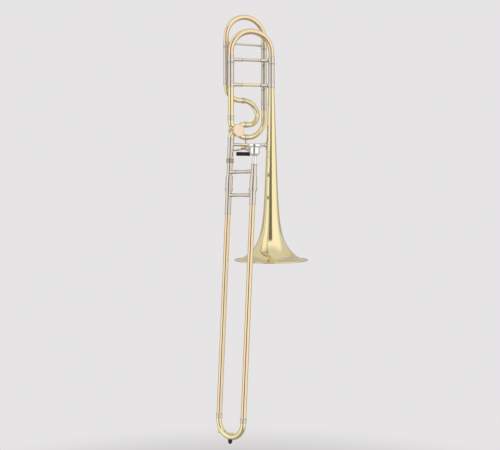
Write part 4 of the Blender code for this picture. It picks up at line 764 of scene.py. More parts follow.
def valve():
    front, back, skirt = CASING_FRONT, CASING_BACK, CASING_RADIUS - 0.1
    outline = [(SHAFT_HOLE, back), (15.2, back), (16.6, back - 0.5), (CASING_RADIUS, back - 1.6)]
    outline += [(CASING_RADIUS, front + 4.6), (skirt, front + 4.2), (skirt, front), (CAP_THREAD, front)]
    outline += [(CAP_THREAD, -CHAMBER), (CHAMBER_RADIUS, -CHAMBER)]
    outline += [(CHAMBER_RADIUS, CHAMBER), (SHAFT_HOLE, CHAMBER)]
    grids = [lathe(eased(outline), ALONG_SHAFT, 96)]
    grids += [knuckle(*port) for port in PORTS]
    grids += [collar(side, level, radius) for side, level, radius, *_ in PORTS]
    piece("valve_body", "bell_section", "brass_tube", grids, "valve_casing", 50)
    hole, disc = FACET * 3.3, 15.3
    seat = -CHAMBER - SOLDER_GAP
    bearing = [(disc, seat), (disc, seat - 3), (hole, seat - 3), (hole, seat)]
    turned("front_bearing", "bell_section", "brass_spun", bearing, ALONG_SHAFT, 64, "valve_bearing_plate")
    valve_cap()


def valve_cap():
    """A milled skirt round the casing, a rim, and a low domed face. Heights run back from the cap's seat."""
    home = ALONG_SHAFT @ move(z=CASING_FRONT - SOLDER_GAP)
    inner, outer, lip = 17.4, 18.25, 16.5
    rim = [(lip - 1, 0), (inner, 0), (inner, 3.3), (17.9, 3.5), (outer, 3.2), (outer, -0.6)]
    rim += [(outer - 0.2, -1.2), (17.5, -1.6), (lip + 0.3, -1.65), (lip, -1.4), (lip, -0.5), (lip - 1, -0.5)]
    face = [(0, -0.5), (lip - 0.1, -0.5), (lip - 0.1, -1.3), (lip - 0.4, -1.6)]
    face += [(12, -1.75), (6, -1.83), (0, -1.85)]

    def milled(angle, height):
        """A milled edge: cos of 72 angle, 0.12 deep, only on the skirt."""
        return 0.12 * np.cos(72 * angle) * ((height > -0.3) & (height < 3.1))

    piece("valve_cap_rim", "bell_section", "brass_spun", [lathe(rim, home, 288, milled)], "valve_cap", 50)
    piece("valve_cap_face", "bell_section", "rose_cap", [lathe(face, home, 96)])


def stop_plate():
    """A hub with two flat arms: a crank to the link's pin, and a tooth that swings between the stops."""
    hub = [(5.5, ARM_HIGH), (5.5, ARM_LOW), (SHAFT_HOLE, ARM_LOW), (SHAFT_HOLE, ARM_HIGH)]
    grids = [lathe(eased(hub), ALONG_SHAFT, 48)]
    near = 3.6
    for angle, far, width in ((CRANK_ANGLE, 10.8, 5.6), (CRANK_ANGLE - 180, 13, 4)):
        along = polar(1, angle)
        arm = at_place(VALVE, along * (near + far) / 2, np.cross(along, BACK), along, BACK)
        grids.append(plate(oblong(width, far - near + width * 0.1), ARM_LOW, ARM_HIGH, arm))
    crank_pin = facing(VALVE, polar(CRANK_REACH, CRANK_ANGLE), BACK)
    grids.append(lathe(pin(1.5, ARM_LOW, ARM_HIGH + 3), crank_pin, 28))
    return grids


def valve_back():
    piece("rotor_stop_arm", "rotor", "nickel_turned", stop_plate(), "stop_arm")
    screw = [(0, 0.75), (1.9, 0.6), (2.3, 0.3), (2.4, 0), (0, 0)]
    head = ALONG_SHAFT @ move(z=ARM_HIGH + 0.32)
    piece("rotor_shaft_screw", "rotor", "nickel_turned", [lathe(screw, head, 32)])
    for name, angle in (("rest", STOP_ANGLE), ("pressed", -STOP_ANGLE)):
        home = facing(VALVE, polar(11, angle), BACK)
        stop = lathe(pin(2, ARM_LOW, ARM_HIGH, 0.5), home, 32)
        piece(f"rubber_stop_{name}", "bell_section", "rubber", [stop], f"valve_bumper_{name}")


# F attachment, in the valve's frame

F_START = F_PORT_END + SOLDER_GAP    # where the wrap's tubes begin
F_BACK, F_LOOP_RISE = 21.6, 75.2     # how far the small loop's end lies behind and away from its start
F_LOOP_BEND, F_RETURN_BEND, F_LOWER_BEND = 37.6, 42, 56
F_LEFT, F_RIGHT = np.array((-19, F_BACK, 0)), np.array((96.8, 0, 0))   # the F slide's legs
F_TOP = 617 - VALVE_HEIGHT           # top of its sleeves
F_SLEEVE_FOOT = F_TOP - 179          # of the right sleeve
F_LEG, F_FERRULE = 7.0, 15


def f_wrap():
    """Out of the upper port, round the small loop, back and up to the left sleeve. Out of the lower port,
    round and up to the right sleeve."""
    for side, level in (("upper", F_PORT), ("lower", -F_PORT)):
        home = facing(VALVE, (0, 0, level), AHEAD)
        ring_joint(f"f_{side}_joint", home, 28, 40, F_RADIUS, f"f_ferrule_{side}")
    lean = math.asin(F_BACK / F_LOOP_RISE)
    loop_up = (0, math.sin(lean), math.cos(lean))
    level = F_PORT + F_LOOP_RISE * math.cos(lean)
    joint, bend_at = F_START + 4.5, 42
    route = Route((F_START, 0, F_PORT), AHEAD).straight(bend_at - F_START).bend(F_LOOP_BEND, 180, loop_up)
    route.straight(bend_at - joint - END_GAP)
    f_tube("f_small_loop", route, "f_loop", np.cross(AHEAD, loop_up))
    home = facing(VALVE, (0, F_BACK, level), AHEAD)
    ring_joint("f_loop_joint", home, joint - 5, joint + 5, F_RADIUS, "f_loop_ferrule")
    start = joint - END_GAP
    route = Route((start, F_BACK, level), (-1, 0, 0)).straight(start - F_RETURN_BEND - F_LEFT[0])
    f_tube("f_return_pipe", route.bend(F_RETURN_BEND, 90, UP).straight(TUBE_IN_SLEEVE), "f_return_tube")
    route = Route((F_START, 0, -F_PORT), AHEAD).straight(F_RIGHT[0] - F_LOWER_BEND - F_START)
    climb = F_SLEEVE_FOOT + TUBE_IN_SLEEVE - (F_LOWER_BEND - F_PORT)
    f_tube("f_lower_pipe", route.bend(F_LOWER_BEND, 90, UP).straight(climb), "f_lower_tube")
    for side, leg, foot in (("left", F_LEFT, level + F_RETURN_BEND), ("right", F_RIGHT, F_SLEEVE_FOOT)):
        home = VALVE @ move(*leg)
        sleeve(f"f_{side}_sleeve", home, foot, F_TOP - foot, F_LEG, F_RADIUS, f"f_sleeve_{side}")


def f_tube(name, route, stands_for, square=BACK):
    bent_tube(name, "bell_section", "brass_tube", route, F_RADIUS, VALVE, stands_for, square)


def f_tuning_slide():
    base = F_TOP + SOLDER_GAP
    top = base + F_FERRULE
    for side, leg in (("left", F_LEFT), ("right", F_RIGHT)):
        home = VALVE @ move(*leg)
        ferrule = bow_leg(f"f_{side}_leg", "f_tuning_slide", home, base, F_LEG, F_RADIUS, F_FERRULE, 60,
                          f"f_leg_{side}")
    across = F_RIGHT - F_LEFT
    width = np.linalg.norm(across)
    rise = 23.3
    route = Route(F_LEFT + (0, 0, top - BOW_INSERT + SOLDER_GAP), UP)
    route.straight(rise).bend(width / 2, 180, across).straight(rise)
    bent_tube("f_bend", "f_tuning_slide", "gold_tube", route, F_RADIUS, VALVE, "f_bow", np.cross(UP, across))
    near = [(2.65, 30), (2.75, ferrule + 9), (3.3, ferrule + 3), (4.1, ferrule + 0.8)]
    near += [(4.4, ferrule * 0.9), (4.4, 0)]
    lift, seat = np.array((0, 0, top - 6)), ferrule - 0.05
    stay = joined_rod(F_LEFT + lift, F_RIGHT + lift, softened(mirrored(near, width), 2, 4), VALVE, seat, seat)
    piece("f_slide_stay", "f_tuning_slide", "nickel_turned", [stay], "f_bow_brace")


# Stays of the bell section

STAY_ROD = 4.2
STAY_LINE = 100                      # any length along a stay's axis, where only its direction matters


def neck_stay():
    """Nickel sockets on the two tuning sleeves, a brass rod between, and a strut to the F slide's sleeve."""
    height = TUNING_BASE + 7.5
    near, far = (FACET * (stem + SOLDER_GAP) + 0.6 for stem in (NECK_RADIUS, STEM_RADIUS))
    sockets = []
    for start, sign, tube in ((-SPAN, 1, near), (0.0, -1, far)):
        mouth = tube + 24
        socket = [(0, mouth), (STAY_ROD, mouth), (4.5, mouth + 0.2)] + bead(mouth - 1.2, 4.9, 0.5)
        socket += [(5.0, mouth - 2.2), (5.0, tube + 4.5), (5.3, tube + 2.6), (5.9, tube + 0.9)]
        socket += [(6.0, tube * 0.9), (6.0, 0), (0, 0)]
        end = (start + sign * STAY_LINE, 0, height)
        sockets.append(joined_rod((start, 0, height), end, socket, near=tube))
    foot = placed(F_RIGHT, VALVE)
    foot[2] = height
    begin = np.array((-20, 0, height))
    length = np.linalg.norm(foot - begin)
    strut = [(0, length), (STAY_ROD, length), (STAY_ROD, length - 9), (3.0, length - 12), (3.0, 0), (0, 0)]
    f_sleeve = FACET * (F_LEG + RUNNING_GAP) + 0.55
    sockets.append(joined_rod(begin, foot, softened(strut, 1.5, 4), far=f_sleeve))
    piece("neck_stay_sockets", "bell_section", "nickel_turned", sockets, "tuning_brace")
    inside = 20
    length = SPAN - near - far - 2 * inside
    rod = joined_rod((-SPAN + near + inside, 0, height), (-far - inside, 0, height),
                     [(0, length), (STAY_ROD, length), (STAY_ROD, 0), (0, 0)])
    piece("neck_stay_rod", "bell_section", "brass_spun", [rod])


def bell_stay():
    """A nickel socket on the receiver, a short brass rod, a nickel socket to a flange on the bell, and a post
    up to the lower F joint."""
    height, rod_start, rod_end = 335, 32, 62
    receiver = 9.25
    left = -SPAN - (RECEIVER_HEIGHT - height) * math.tan(math.radians(SLIDE_TILT))
    start, end = (left, 0, height), (left + STAY_LINE, 0, height)
    surface = -float(bell_radius(height)) - SOLDER_GAP
    length = surface - left
    rod = [(0, rod_end), (STAY_ROD, rod_end), (STAY_ROD, rod_start), (0, rod_start)]
    piece("bell_stay_rod", "bell_section", "brass_spun", [joined_rod(start, end, rod)])
    cup = [(0, rod_start), (STAY_ROD, rod_start)] + bead(rod_start - 0.7, 4.3, 0.4)
    cup += [(4.5, rod_start - 1.6), (4.5, 12.2), (4.7, 10.4), (5.0, 9.4), (5.0, 0), (0, 0)]
    long_socket = [(0, length + 1), (5.0, length + 1), (5.0, length - 5)] + bead(length - 6.2, 5.0, 0.55)
    long_socket += [(4.9, length - 7.4), (4.7, length - 12), (4.7, rod_end + 1.2)]
    long_socket += bead(rod_end + 0.5, 4.6, 0.4) + [(4.3, rod_end), (0, rod_end)]
    head = placed((34, 0, -F_PORT), VALVE)
    foot = np.array((head[0] - 3.8, 0, height))
    rise = np.linalg.norm(head - foot)
    post = [(0, rise), (2.2, rise), (2.2, 8.5), (2.6, 6.6), (3.4, 4.0), (3.4, 0), (0, 0)]
    f_joint = FACET * (F_RADIUS + SOLDER_GAP) + 0.65
    grids = [joined_rod(start, end, cup, near=receiver),
             joined_rod(start, (surface, 0, height), eased(long_socket, 0.2)),
             bell_flange(height),
             joined_rod(foot, head, softened(post, 0.8, 4), far=f_joint, tube_axis=VALVE[:3, 0])]
    piece("bell_stay_socket", "bell_section", "nickel_turned", grids, "bell_brace")


def bell_flange(height):
    """A plate bent to the bell: a long oval outline, 5.3 |cos a|^0.8 by 12.6 |sin a|^0.8, laid at the bell's
    own radius and thickened outwards."""
    angle = np.arange(48) * TAU / 48
    half_width, half_length, square = 5.3, 12.6, 0.80
    y = half_width * np.sign(np.cos(angle)) * np.abs(np.cos(angle)) ** square
    z = half_length * np.sign(np.sin(angle)) * np.abs(np.sin(angle)) ** square
    rows = []
    for grow, off in ((0, 0.35), (0.5, 0.35), (1, 0.35), (1, 1.3), (0.94, 1.7), (0.5, 1.75), (0, 1.75)):
        across, up = y * grow, height + z * grow
        radius = bell_radius(up) + off
        rows.append(np.column_stack((-np.sqrt(radius ** 2 - across ** 2), across, up)))
    return np.stack(rows), False


# Thumb trigger and its link to the valve, in a frame at the lever's pivot, with its axle along X

PIVOT = np.array((-76, 0, 324.5))
HERE = move(*PIVOT)
AXLE = facing(HERE, (0, 0, 0), AHEAD)
HUB_HALF = 10
STAY_ABOVE = 10.5                    # of the bell stay's axis above the pivot
CRANK_ROD = 2.25
GRIP_LEFT, GRIP_RIGHT, GRIP_FORWARD, GRIP_LOW, GRIP_RADIUS = -29.3, 11.2, -10, -16, 5.7
LINK_EYE_HALF = 1.5
LINK_CUP = placed(polar(CRANK_REACH, CRANK_ANGLE, ARM_HIGH + 3 + 0.3 + LINK_EYE_HALF), VALVE)
THROW = CRANK_REACH * math.sin(math.radians(45))
LINK_FOOT = np.array((LINK_CUP[0], LINK_CUP[1], PIVOT[2] - THROW))


def trigger():
    trigger_mount()
    trigger_lever()
    coil = coil_line(AHEAD, UP, 4.4, 1.3, 4, (7, 6))
    wire = sweep(coil, 0.4, HERE, 10, reference=(0.97, 0.17, 0.14))
    piece("trigger_coil", "bell_section", "steel_wire", [wire], "trigger_spring", 60)
    valve_link()


def lug_outline(radius, half_width, rise):
    """A round eye whose sides run up to a wider root: an arc of radius, then the root's two corners."""
    angle = np.radians(np.linspace(-195, 15, 20))
    eye = np.column_stack((radius * np.cos(angle), radius * np.sin(angle)))
    return np.concatenate((eye, ((half_width, rise), (-half_width, rise))))


def trigger_mount():
    """Two lugs under a shoe on the bell stay, and the screw through them that the lever turns on."""
    mount = []
    for side in (-1, 1):
        lug = square_to(HERE, (side * (HUB_HALF + 1.4), 0, 0), BACK, UP)
        mount.append(plate(lug_outline(4.0, 3.7, 7.4), -1.1, 1.1, lug, 0.25))
    under_stay = square_to(HERE, (0, 0, STAY_ABOVE), (0, 0, -1), BACK)
    mount.append(shoe(4.1, 5.4, 68, HUB_HALF + 2.8, under_stay))
    piece("trigger_bridge", "bell_section", "brass_tube", mount, "trigger_saddle")
    end = HUB_HALF + 2.5
    screw = [(0, end + 1.1), (1.2, end + 1.1), (2.3, end + 1.8), (2.8, end + 1.2), (2.8, end + 0.3)]
    screw += [(1.5, end + 0.3), (1.5, -end - 0.8), (0, -end - 0.8)]
    turned("trigger_axle_screw", "bell_section", "steel_wire", screw, AXLE, 36, "trigger_pivot_screw")


def trigger_lever():
    """A hub on the axle, an arm back to the link's foot, and a crank forward to the thumb grip."""
    foot = LINK_FOOT - PIVOT
    shoulder = foot + (LINK_EYE_HALF + 0.3 + CRANK_ROD, 0, 0)
    root = -HUB_HALF + CRANK_ROD
    hub = [(3.4, HUB_HALF), (3.4, HUB_HALF - 1.6), (3.1, HUB_HALF - 2), (3.1, 5.2 - HUB_HALF)]
    hub += [(3.4, 4.8 - HUB_HALF), (3.4, -HUB_HALF), (1.87, -HUB_HALF), (1.87, HUB_HALF)]
    arm = softened([(root, 0, 0), (root, 10, foot[2] * 0.35), shoulder], 5, 10)
    knob = facing(HERE, shoulder, AHEAD)
    turn, forward, low = GRIP_RIGHT + 4, GRIP_FORWARD, GRIP_LOW
    crank = [(root, 0, 0), (root, -7.8, 2), (turn, forward, low + 5.2), (turn, forward, low)]
    crank = softened(crank + [(GRIP_LEFT - 0.3, forward, low)], 3, 10)
    lever = [lathe(eased(hub, 0.2), AXLE, 44),
             sweep(arm, CRANK_ROD, HERE, 32),
             lathe(pin(2.8, -2.2, 2.2, 0.5), knob, 36),
             lathe(pin(1.45, -6.1, 0), knob, 28),
             sweep(crank, CRANK_ROD, HERE, 32, reference=(0.3, 1.0, 0.25))]
    piece("trigger_crank", "trigger_lever", "nickel_turned", lever, "trigger_lever", 50)
    length, r, bore = GRIP_RIGHT - GRIP_LEFT, GRIP_RADIUS, 2.67
    grip = [(bore, length), (r - 1.6, length), (r - 0.4, length - 0.6), (r, length - 2.2)]
    grip += [(r * 0.97, length / 2), (r, 2.2), (r - 0.4, 0.6), (r - 1.6, 0), (bore, 0)]
    home = facing(HERE, (GRIP_LEFT, forward, low), AHEAD)
    turned("thumb_grip", "trigger_lever", "rosewood", grip, home, 56, "trigger_grip", 0.4)


def valve_link():
    """An eye on the lever's pin, a thin shank, and a cup in front of the stop arm's pin."""
    home = move(*LINK_FOOT)
    to_cup = LINK_CUP - LINK_FOOT
    half, length = LINK_EYE_HALF, np.linalg.norm(to_cup)
    eye = [(3.4, half), (3.4, -half), (1.85, -half), (1.85, half)]
    shank = [(0, length - 1), (2.1, length - 1.5), (2.1, length - 9), (1.35, length - 10)]
    shank += [(1.35, 10), (2.1, 9), (2.1, 3), (0, 2.8)]
    link = [lathe(eased(eye, 0.4), facing(home, (0, 0, 0), AHEAD), 40),
            lathe(eased(shank, 0.4), facing(home, (0, 0, 0), to_cup), 32),
            lathe(pin(3.4, -half, half, 0.5), facing(home, to_cup, VALVE[:3, 1]), 40)]
    piece("valve_link", "link_rod", "nickel_turned", link, "link_rod", 50)


# Receiver and the hand slide's fixed half. Heights are along the slide, from 0 near the receiver's top

NUT_TOP, NUT_LOW = -55, -68
UPPER_END, PIPE_RADIUS = -112, 8.2             # of the two upper pipes
BARREL_TOP, BARREL_LOW = -105, -148
INNER_RADIUS, INNER_END, STOCKING = 6.85, -779.5, 120
LOCK_ANGLE = 225


def receiver():
    cup, bore = FACET * 9.1, FACET * 8.0
    outline = [(cup + 0.4, 5)] + bead(4.2, cup + 0.3, 0.4) + [(cup + 0.6, 3.2), (cup + 0.6, -0.4)]
    outline += [(9.35, -2.2), (8.95, -4.5), (8.9, -30), (9.0, NUT_TOP), (9.0, -60)]
    outline += [(bore, -60), (bore, -1), (cup, -1), (cup, 5)]
    turned("receiver_pipe", "bell_section", "nickel_turned", outline, SLIDE, 56, "slide_receiver")
    top, low, thread = NUT_TOP, NUT_LOW, FACET * 9.3
    outline = [(9.9, top), (10.4, top - 0.6), (10.4, top - 1.6), (10.0, top - 1.9)]
    outline += [(10.5, height) for height in np.linspace(top - 2.2, low + 2.2, 22)]
    outline += [(10.0, low + 1.9), (10.4, low + 1.6), (10.4, low + 0.6), (9.9, low)]
    outline += [(8.67, low), (8.67, -64), (thread, -64), (thread, top)]

    def knurl(angle, height):
        """Crossed grooves between the plain ends of the outside: -0.25 (1 - cos(a + h) cos(a - h)) / 2."""
        a, h = 34 * angle, height * 3.4
        body = (height > low + 2) & (height < top - 2)
        body[-4:] = False
        return -0.25 * (1 - np.cos(a + h) * np.cos(a - h)) * body / 2

    piece("receiver_lock_nut", "lock_nut", "knurled", [lathe(outline, SLIDE, 204, knurl)], "lock_nut", 60)


def upper_pipes():
    """The tenon pipe under the valve, the pipe that takes the mouthpiece, and the stay between them."""
    low, inner, r = UPPER_END, FACET * 7.15, PIPE_RADIUS
    step = low + 12
    outline = [(7.4, -25.3), (7.7, -60.3), (9.0, -60.3), (9.0, -63.7), (r, -63.7), (r, -84), (r, low)]
    outline += [(inner, low), (inner, step), (6.25, step), (6.25, -25.3)]
    turned("neck_upper_pipe", "inner_slide", "nickel_drawn", outline, SLIDE, 56, "slide_tenon")
    top, mouth = -72.5, FACET * 6.0
    outline = [(9.0, top), (9.35, top - 0.4), (9.35, top - 2.4), (9.0, top - 2.9), (8.3, top - 3.6)]
    outline += [(r, top - 5), (r, low), (inner, low), (inner, step)]
    outline += [(mouth - 0.5, step), (mouth - 0.5, top - 26), (mouth, top)]
    turned("mouthpiece_socket", "inner_slide", "nickel_drawn", outline, LEGS["mouthpiece"], 56,
           "mouthpiece_receiver")
    slide_stay("upper_slide_stay", "inner_slide", -93.7, 5.0, 5.5, r, "inner_brace")


def slide_stay(name, body, height, rod, socket, tube, stands_for):
    """A stout stay between the two legs: each socket has a ring at its mouth and flares onto its tube."""
    mouth = tube + 16
    near = [(rod, mouth + 0.8), (socket * 0.97, mouth + 0.4)] + bead(mouth - 0.4, socket - 0.1, 0.45)
    near += [(socket, mouth - 1.2), (socket, tube + 4), (socket * 1.08, tube + 1.6)]
    near += [(socket * 1.16, tube * 0.9), (socket * 1.16, 0)]
    stay = joined_rod((0, 0, height), (LEG_SPAN, 0, height), mirrored(near, LEG_SPAN), SLIDE, tube, tube)
    piece(name, body, "nickel_turned", [stay], stands_for)


def barrels():
    """The two cork barrels, their inner pipes, which end in thicker stockings, and the slide lock's collar."""
    top, low = BARREL_TOP, BARREL_LOW
    seat, cavity, floor_at = FACET * 8.5, FACET * (FACET * PIPE_RADIUS + 0.85), top - 7.3
    band = low + 8
    ends = {"neck": [(10.4, band + 1), (11.1, band), (11.6, band - 0.6), (11.6, band - 2), (11.2, band - 2.4),
                     (11.2, band - 5.4), (11.6, band - 5.9), (11.6, low + 0.5), (11.2, low)],
            "mouthpiece": [(10.5, low)]}
    start, end, stocking = top + 4.7, INNER_END, INNER_END + STOCKING
    inner = INNER_RADIUS
    pipe = [(inner, start), (inner, stocking + 1), (7.0, stocking), (7.0, end), (6.25, end), (6.25, start)]
    for side, leg in LEGS.items():
        outline = [(9.6, top), (10.2, top - 0.5), (10.5, top - 1.4), (10.35, top - 2.4), (10.4, top - 3.4)]
        outline += ends[side] + [(cavity, low), (cavity, floor_at), (seat, floor_at), (seat, top)]
        barrel = f"cork_barrel_{side}"
        turned(f"{side}_barrel", "inner_slide", "nickel_turned", outline, leg, 60, barrel, 0.25)
        turned(f"{side}_inner_pipe", "inner_slide", "chrome", pipe, leg, 48, f"inner_tube_{side}")
    bore = FACET * 10.5 + 0.3
    outer = bore + 1.1
    groove = outer - 0.35
    ring = [(outer - 0.3, 8.5), (outer, 8.0), (outer, 6.6), (groove, 6.2), (groove, 2.2)]
    ring += [(outer, 1.8), (outer, 0.5), (outer - 0.3, 0), (bore, 0), (bore, 8.5)]
    home = LEGS["mouthpiece"] @ move(z=low)
    out = np.array((math.cos(math.radians(LOCK_ANGLE)), math.sin(math.radians(LOCK_ANGLE)), 0))
    finger = upright(facing(home, out * (outer - 0.75) + (0, 0, -4), out))
    grids = [lathe(eased(ring, 0.2), home, 60), plate(oblong(4, 12), -0.65, 0.65, finger, 0.25)]
    piece("slide_lock_collar", "slide_lock", "nickel_turned", grids, "slide_lock_ring", 50)


def upright(home):
    """The same frame, turned about its Z so that its Y is as near the slide's axis as it can be."""
    z = home[:3, 2]
    y = unit(SLIDE[:3, 2] - z * (z @ SLIDE[:3, 2]))
    matrix = home.copy()
    matrix[:3, 0], matrix[:3, 1] = np.cross(y, z), y
    return matrix


# The hand slide's moving half

OUTER_RADIUS, OUTER_WALL, OUTER_TOP = 7.9, 0.5, -127
OVERSLEEVE_TOP, OVERSLEEVE_LENGTHS = -125, {"neck": 90.7, "mouthpiece": 62.7}
CROOK_JOINT, CROOK_RADIUS = -789.3, 8.0
CROOK_CENTRE = np.array((LEG_SPAN / 2, 0, CROOK_JOINT - 8.4))
NIPPLE_AT = CROOK_CENTRE + polar(LEG_SPAN / 2, -60)
NIPPLE_END = 10.5


def outer_slide():
    bore = FACET * PIPE_RADIUS
    sleeve_radius = bore + 0.45
    for side, leg in LEGS.items():
        pipe = straight_pipe(OUTER_RADIUS, OUTER_WALL, OUTER_TOP, CROOK_JOINT + END_GAP, leg, 48, 8)
        piece(f"{side}_outer_pipe", "outer_slide", "gold_tube", [pipe], f"outer_tube_{side}")
        top = OVERSLEEVE_TOP
        end = top - OVERSLEEVE_LENGTHS[side]
        r = sleeve_radius
        outline = [(r, top), (r, end + 2.6)] + bead(end + 2.0, r - 0.15, 0.45)
        outline += [(r, end + 1.2), (r - 0.1, end), (bore, end), (bore, top)]
        oversleeve = f"oversleeve_{side}"
        turned(f"{side}_outer_sleeve", "outer_slide", "nickel_drawn", outline, leg, 52, oversleeve, 0.15)
        home = facing(leg, (0, 0, 0), UP)
        ring_joint(f"{side}_crook_joint", home, CROOK_JOINT - 6, CROOK_JOINT + 6, CROOK_RADIUS,
                   f"crook_ferrule_{side}", "outer_slide")
    slide_stay("lower_slide_stay", "outer_slide", -159.8, 4.75, 5.2, sleeve_radius, "outer_brace")


def crook():
    """The bend between the two legs, with the water key's nipple on its far side and a rubber tip below."""
    route = Route((0, 0, CROOK_JOINT - END_GAP), (0, 0, -1)).straight(8.25, 3)
    route.bend(LEG_SPAN / 2, 180, AHEAD).straight(8.25, 3)
    end, root = NIPPLE_END, CROOK_RADIUS - 1.2
    nipple = [(3.0, end), (3.6, end - 0.3), (3.4, end - 1.3), (4.2, 8.0), (4.8, root)]
    nipple += [(2.0, root), (2.0, end)]
    grids = [sweep(route.line(), CROOK_RADIUS, SLIDE, 48, TUBE_WALL, BACK),
             lathe(eased(nipple, 0.2), facing(SLIDE, NIPPLE_AT, BACK), 40)]
    piece("crook_bend", "outer_slide", "brass_tube", grids, "crook", 50)
    low = -LEG_SPAN / 2 - CROOK_RADIUS
    tip = [(0, low + 2.0), (5.3, low + 2.6), (5.8, low + 0.5), (6.0, low - 2), (5.8, low - 5)]
    tip += [(5.1, low - 8), (4.2, low - 10), (3.0, low - 11), (0, low - 11)]
    points, ring = lathe(softened(tip, 1.0, 5), BELL, 48)
    points[..., 2] = np.minimum(points[..., 2], -crook_surface(points[..., 0], points[..., 1]))
    piece("crook_tip", "outer_slide", "rubber", [(placed(points, SLIDE @ move(*CROOK_CENTRE)), ring)],
          "crook_bumper", 50)


def crook_surface(x, y):
    """The crook's depth below its centre: sqrt((R + r)^2 - x^2) on its lowest line, less r - sqrt(r^2 - y^2)
    to the sides, with R the bend's radius and r the tube's, 0.05 clear of it."""
    r = CROOK_RADIUS + 0.05
    lowest = np.sqrt(np.maximum((LEG_SPAN / 2 + r) ** 2 - x ** 2, 0))
    return lowest - (r - np.sqrt(np.maximum(r ** 2 - y ** 2, 0)))


KEY_PIVOT = np.array((40, 14.5, CROOK_CENTRE[2] - 42))
KEY_HALF = 3.7                       # half the length of the key's hub
KEY_TOUCH = -49                      # where the finger's plate lies along X
KEY_COIL = 0.95                      # the pitch of its spring


def water_key():
    """A lever along the crook, with a cup and its cork at one end and a finger plate at the other."""
    here = SLIDE @ move(*KEY_PIVOT)
    water_key_mount(here)
    half = KEY_HALF
    nipple = NIPPLE_AT - KEY_PIVOT
    pad_low = NIPPLE_END + 0.3 - KEY_PIVOT[1]
    pad_top = pad_low + 2.6
    cup_low, cup_top = pad_top + 0.1, pad_top + 1.9
    at_pad = facing(here, (nipple[0], 0, nipple[2]), BACK)
    pad = lathe(pin(4.6, pad_low, pad_top, 0.4), at_pad, 36)
    piece("water_key_cork", "water_key", "cork", [pad], "water_key_pad")
    hub = [(3.0, half), (3.0, -half), (1.55, -half), (1.55, half)]
    cup = [(0, cup_top + 0.2), (3, cup_top), (4.8, cup_top - 0.6), (5.2, cup_top - 1.3), (5.2, cup_low)]
    cup += [(4.8, cup_low), (0, cup_low)]
    arm_at = half - 1.8
    to_cup = np.linspace((1.5, 0, arm_at), (nipple[0], cup_top + 0.4, nipple[2]), 12)
    to_touch = softened([(-1.5, 0, arm_at), (KEY_TOUCH * 0.4, 3.5, 1), (KEY_TOUCH, 0, 2)], 10, 10)
    touch = [(0, 1.0), (3.4, 1.3), (4.6, 1.2), (5.0, 0.4), (4.8, -0.8), (3.4, -1.7), (0, -2.0)]
    thick, thin = 1.8, 1.5
    lever = [lathe(eased(hub), here, 36), lathe(cup, at_pad, 40)]
    lever += [sweep(arm, np.linspace(thick, thin, len(arm)), here, 24) for arm in (to_cup, to_touch)]
    lever.append(lathe(touch, facing(here, (KEY_TOUCH, -0.8, 2), BACK), 40))
    piece("water_key_arm", "water_key", "brass_tube", lever, "water_key_lever", 50)
    turns = 3
    coil = coil_line(UP, (0, -1, 0), 4.0, KEY_COIL, turns, (7, 5), -half + turns * KEY_COIL / 2 + 0.3)
    wire = sweep(coil, 0.3, here, 10, reference=(0.1, 0.1, 0.99))
    piece("water_key_coil", "outer_slide", "steel_wire", [wire], "water_key_spring", 60)


def water_key_mount(here):
    """Two posts on a foot that is soldered to the crook, and the pin through them."""
    mount = []
    for side in (1, -1):
        level = side * (KEY_HALF + 1.3)
        mount.append(lathe(pin(2.5, level - 0.95, level + 0.95, 0.25), here, 32))
        mount.append(plate(oblong(4.4, 8.6, 6), level - 0.85, level + 0.85, here @ move(0, -3.6, 0), 0.2))
    foot = oblong(8, 8, 6)
    foot[:, 1] = np.clip(foot[:, 1] + 7.2, 6.6, 10.1)
    mount.append(plate(foot, -6.3, 6.3, SLIDE @ move(KEY_PIVOT[0], 0, KEY_PIVOT[2])))
    mount.append(lathe(pin(1.2, -6.5, 6.5), here, 24))
    piece("water_key_mount", "outer_slide", "brass_tube", mount, "water_key_saddle")


# Mouthpiece

def mouthpiece():
    top, tip, rim, bite = -17.5, -97.5, 19.3, 2.6
    cup = top - 30.5
    angle = np.radians(np.linspace(80, 0, 8))
    crown = list(zip(rim - bite + bite * np.cos(angle), top - bite + bite * np.sin(angle)))
    outline = [(14.4, top)] + crown + [(rim, top - 6.4), (rim - 0.5, top - 7.6), (16.0, top - 8.6)]
    outline += [(14.6, top - 9.4), (14.2, top - 11), (14.1, cup + 8), (13.7, cup + 4.6), (12.5, cup + 1.9)]
    outline += [(10.4, cup + 0.2), (8.0, cup - 0.9), (6.5, cup - 2.4), (6.1, cup - 4.6), (5.8, cup - 8.2)]
    outline += [(5.7, -72.5), (5.2, tip), (4.5, tip), (3.3, cup + 1)]
    outline += [(6.3, cup + 5), (10.7, cup + 14), (12.4, top - 4), (13.0, top - 1.4)]
    grid = lathe(softened(outline, 1.0, 4, closed=True), LEGS["mouthpiece"], 80)
    piece("silver_mouthpiece", "mouthpiece", "silver", [grid], "mouthpiece", 60)


# Studio, in metres

PAPER = (0.791, 0.776, 0.784)
CAMERA, CAMERA_TILT, CAMERA_TURN, CAMERA_LENS = (-0.5541, -2.3100, 0.203), 87.6, -12, 58.8
MIDDLE = np.array((-0.07, 0, 0.1))   # of the object, which the lamps face
GAP_TURN = -10                       # of the tent's gap, from the camera's side
FLOOR_MIDDLE, FLOOR_RADIUS = (-0.10, 0.0, -1.10), 8.0


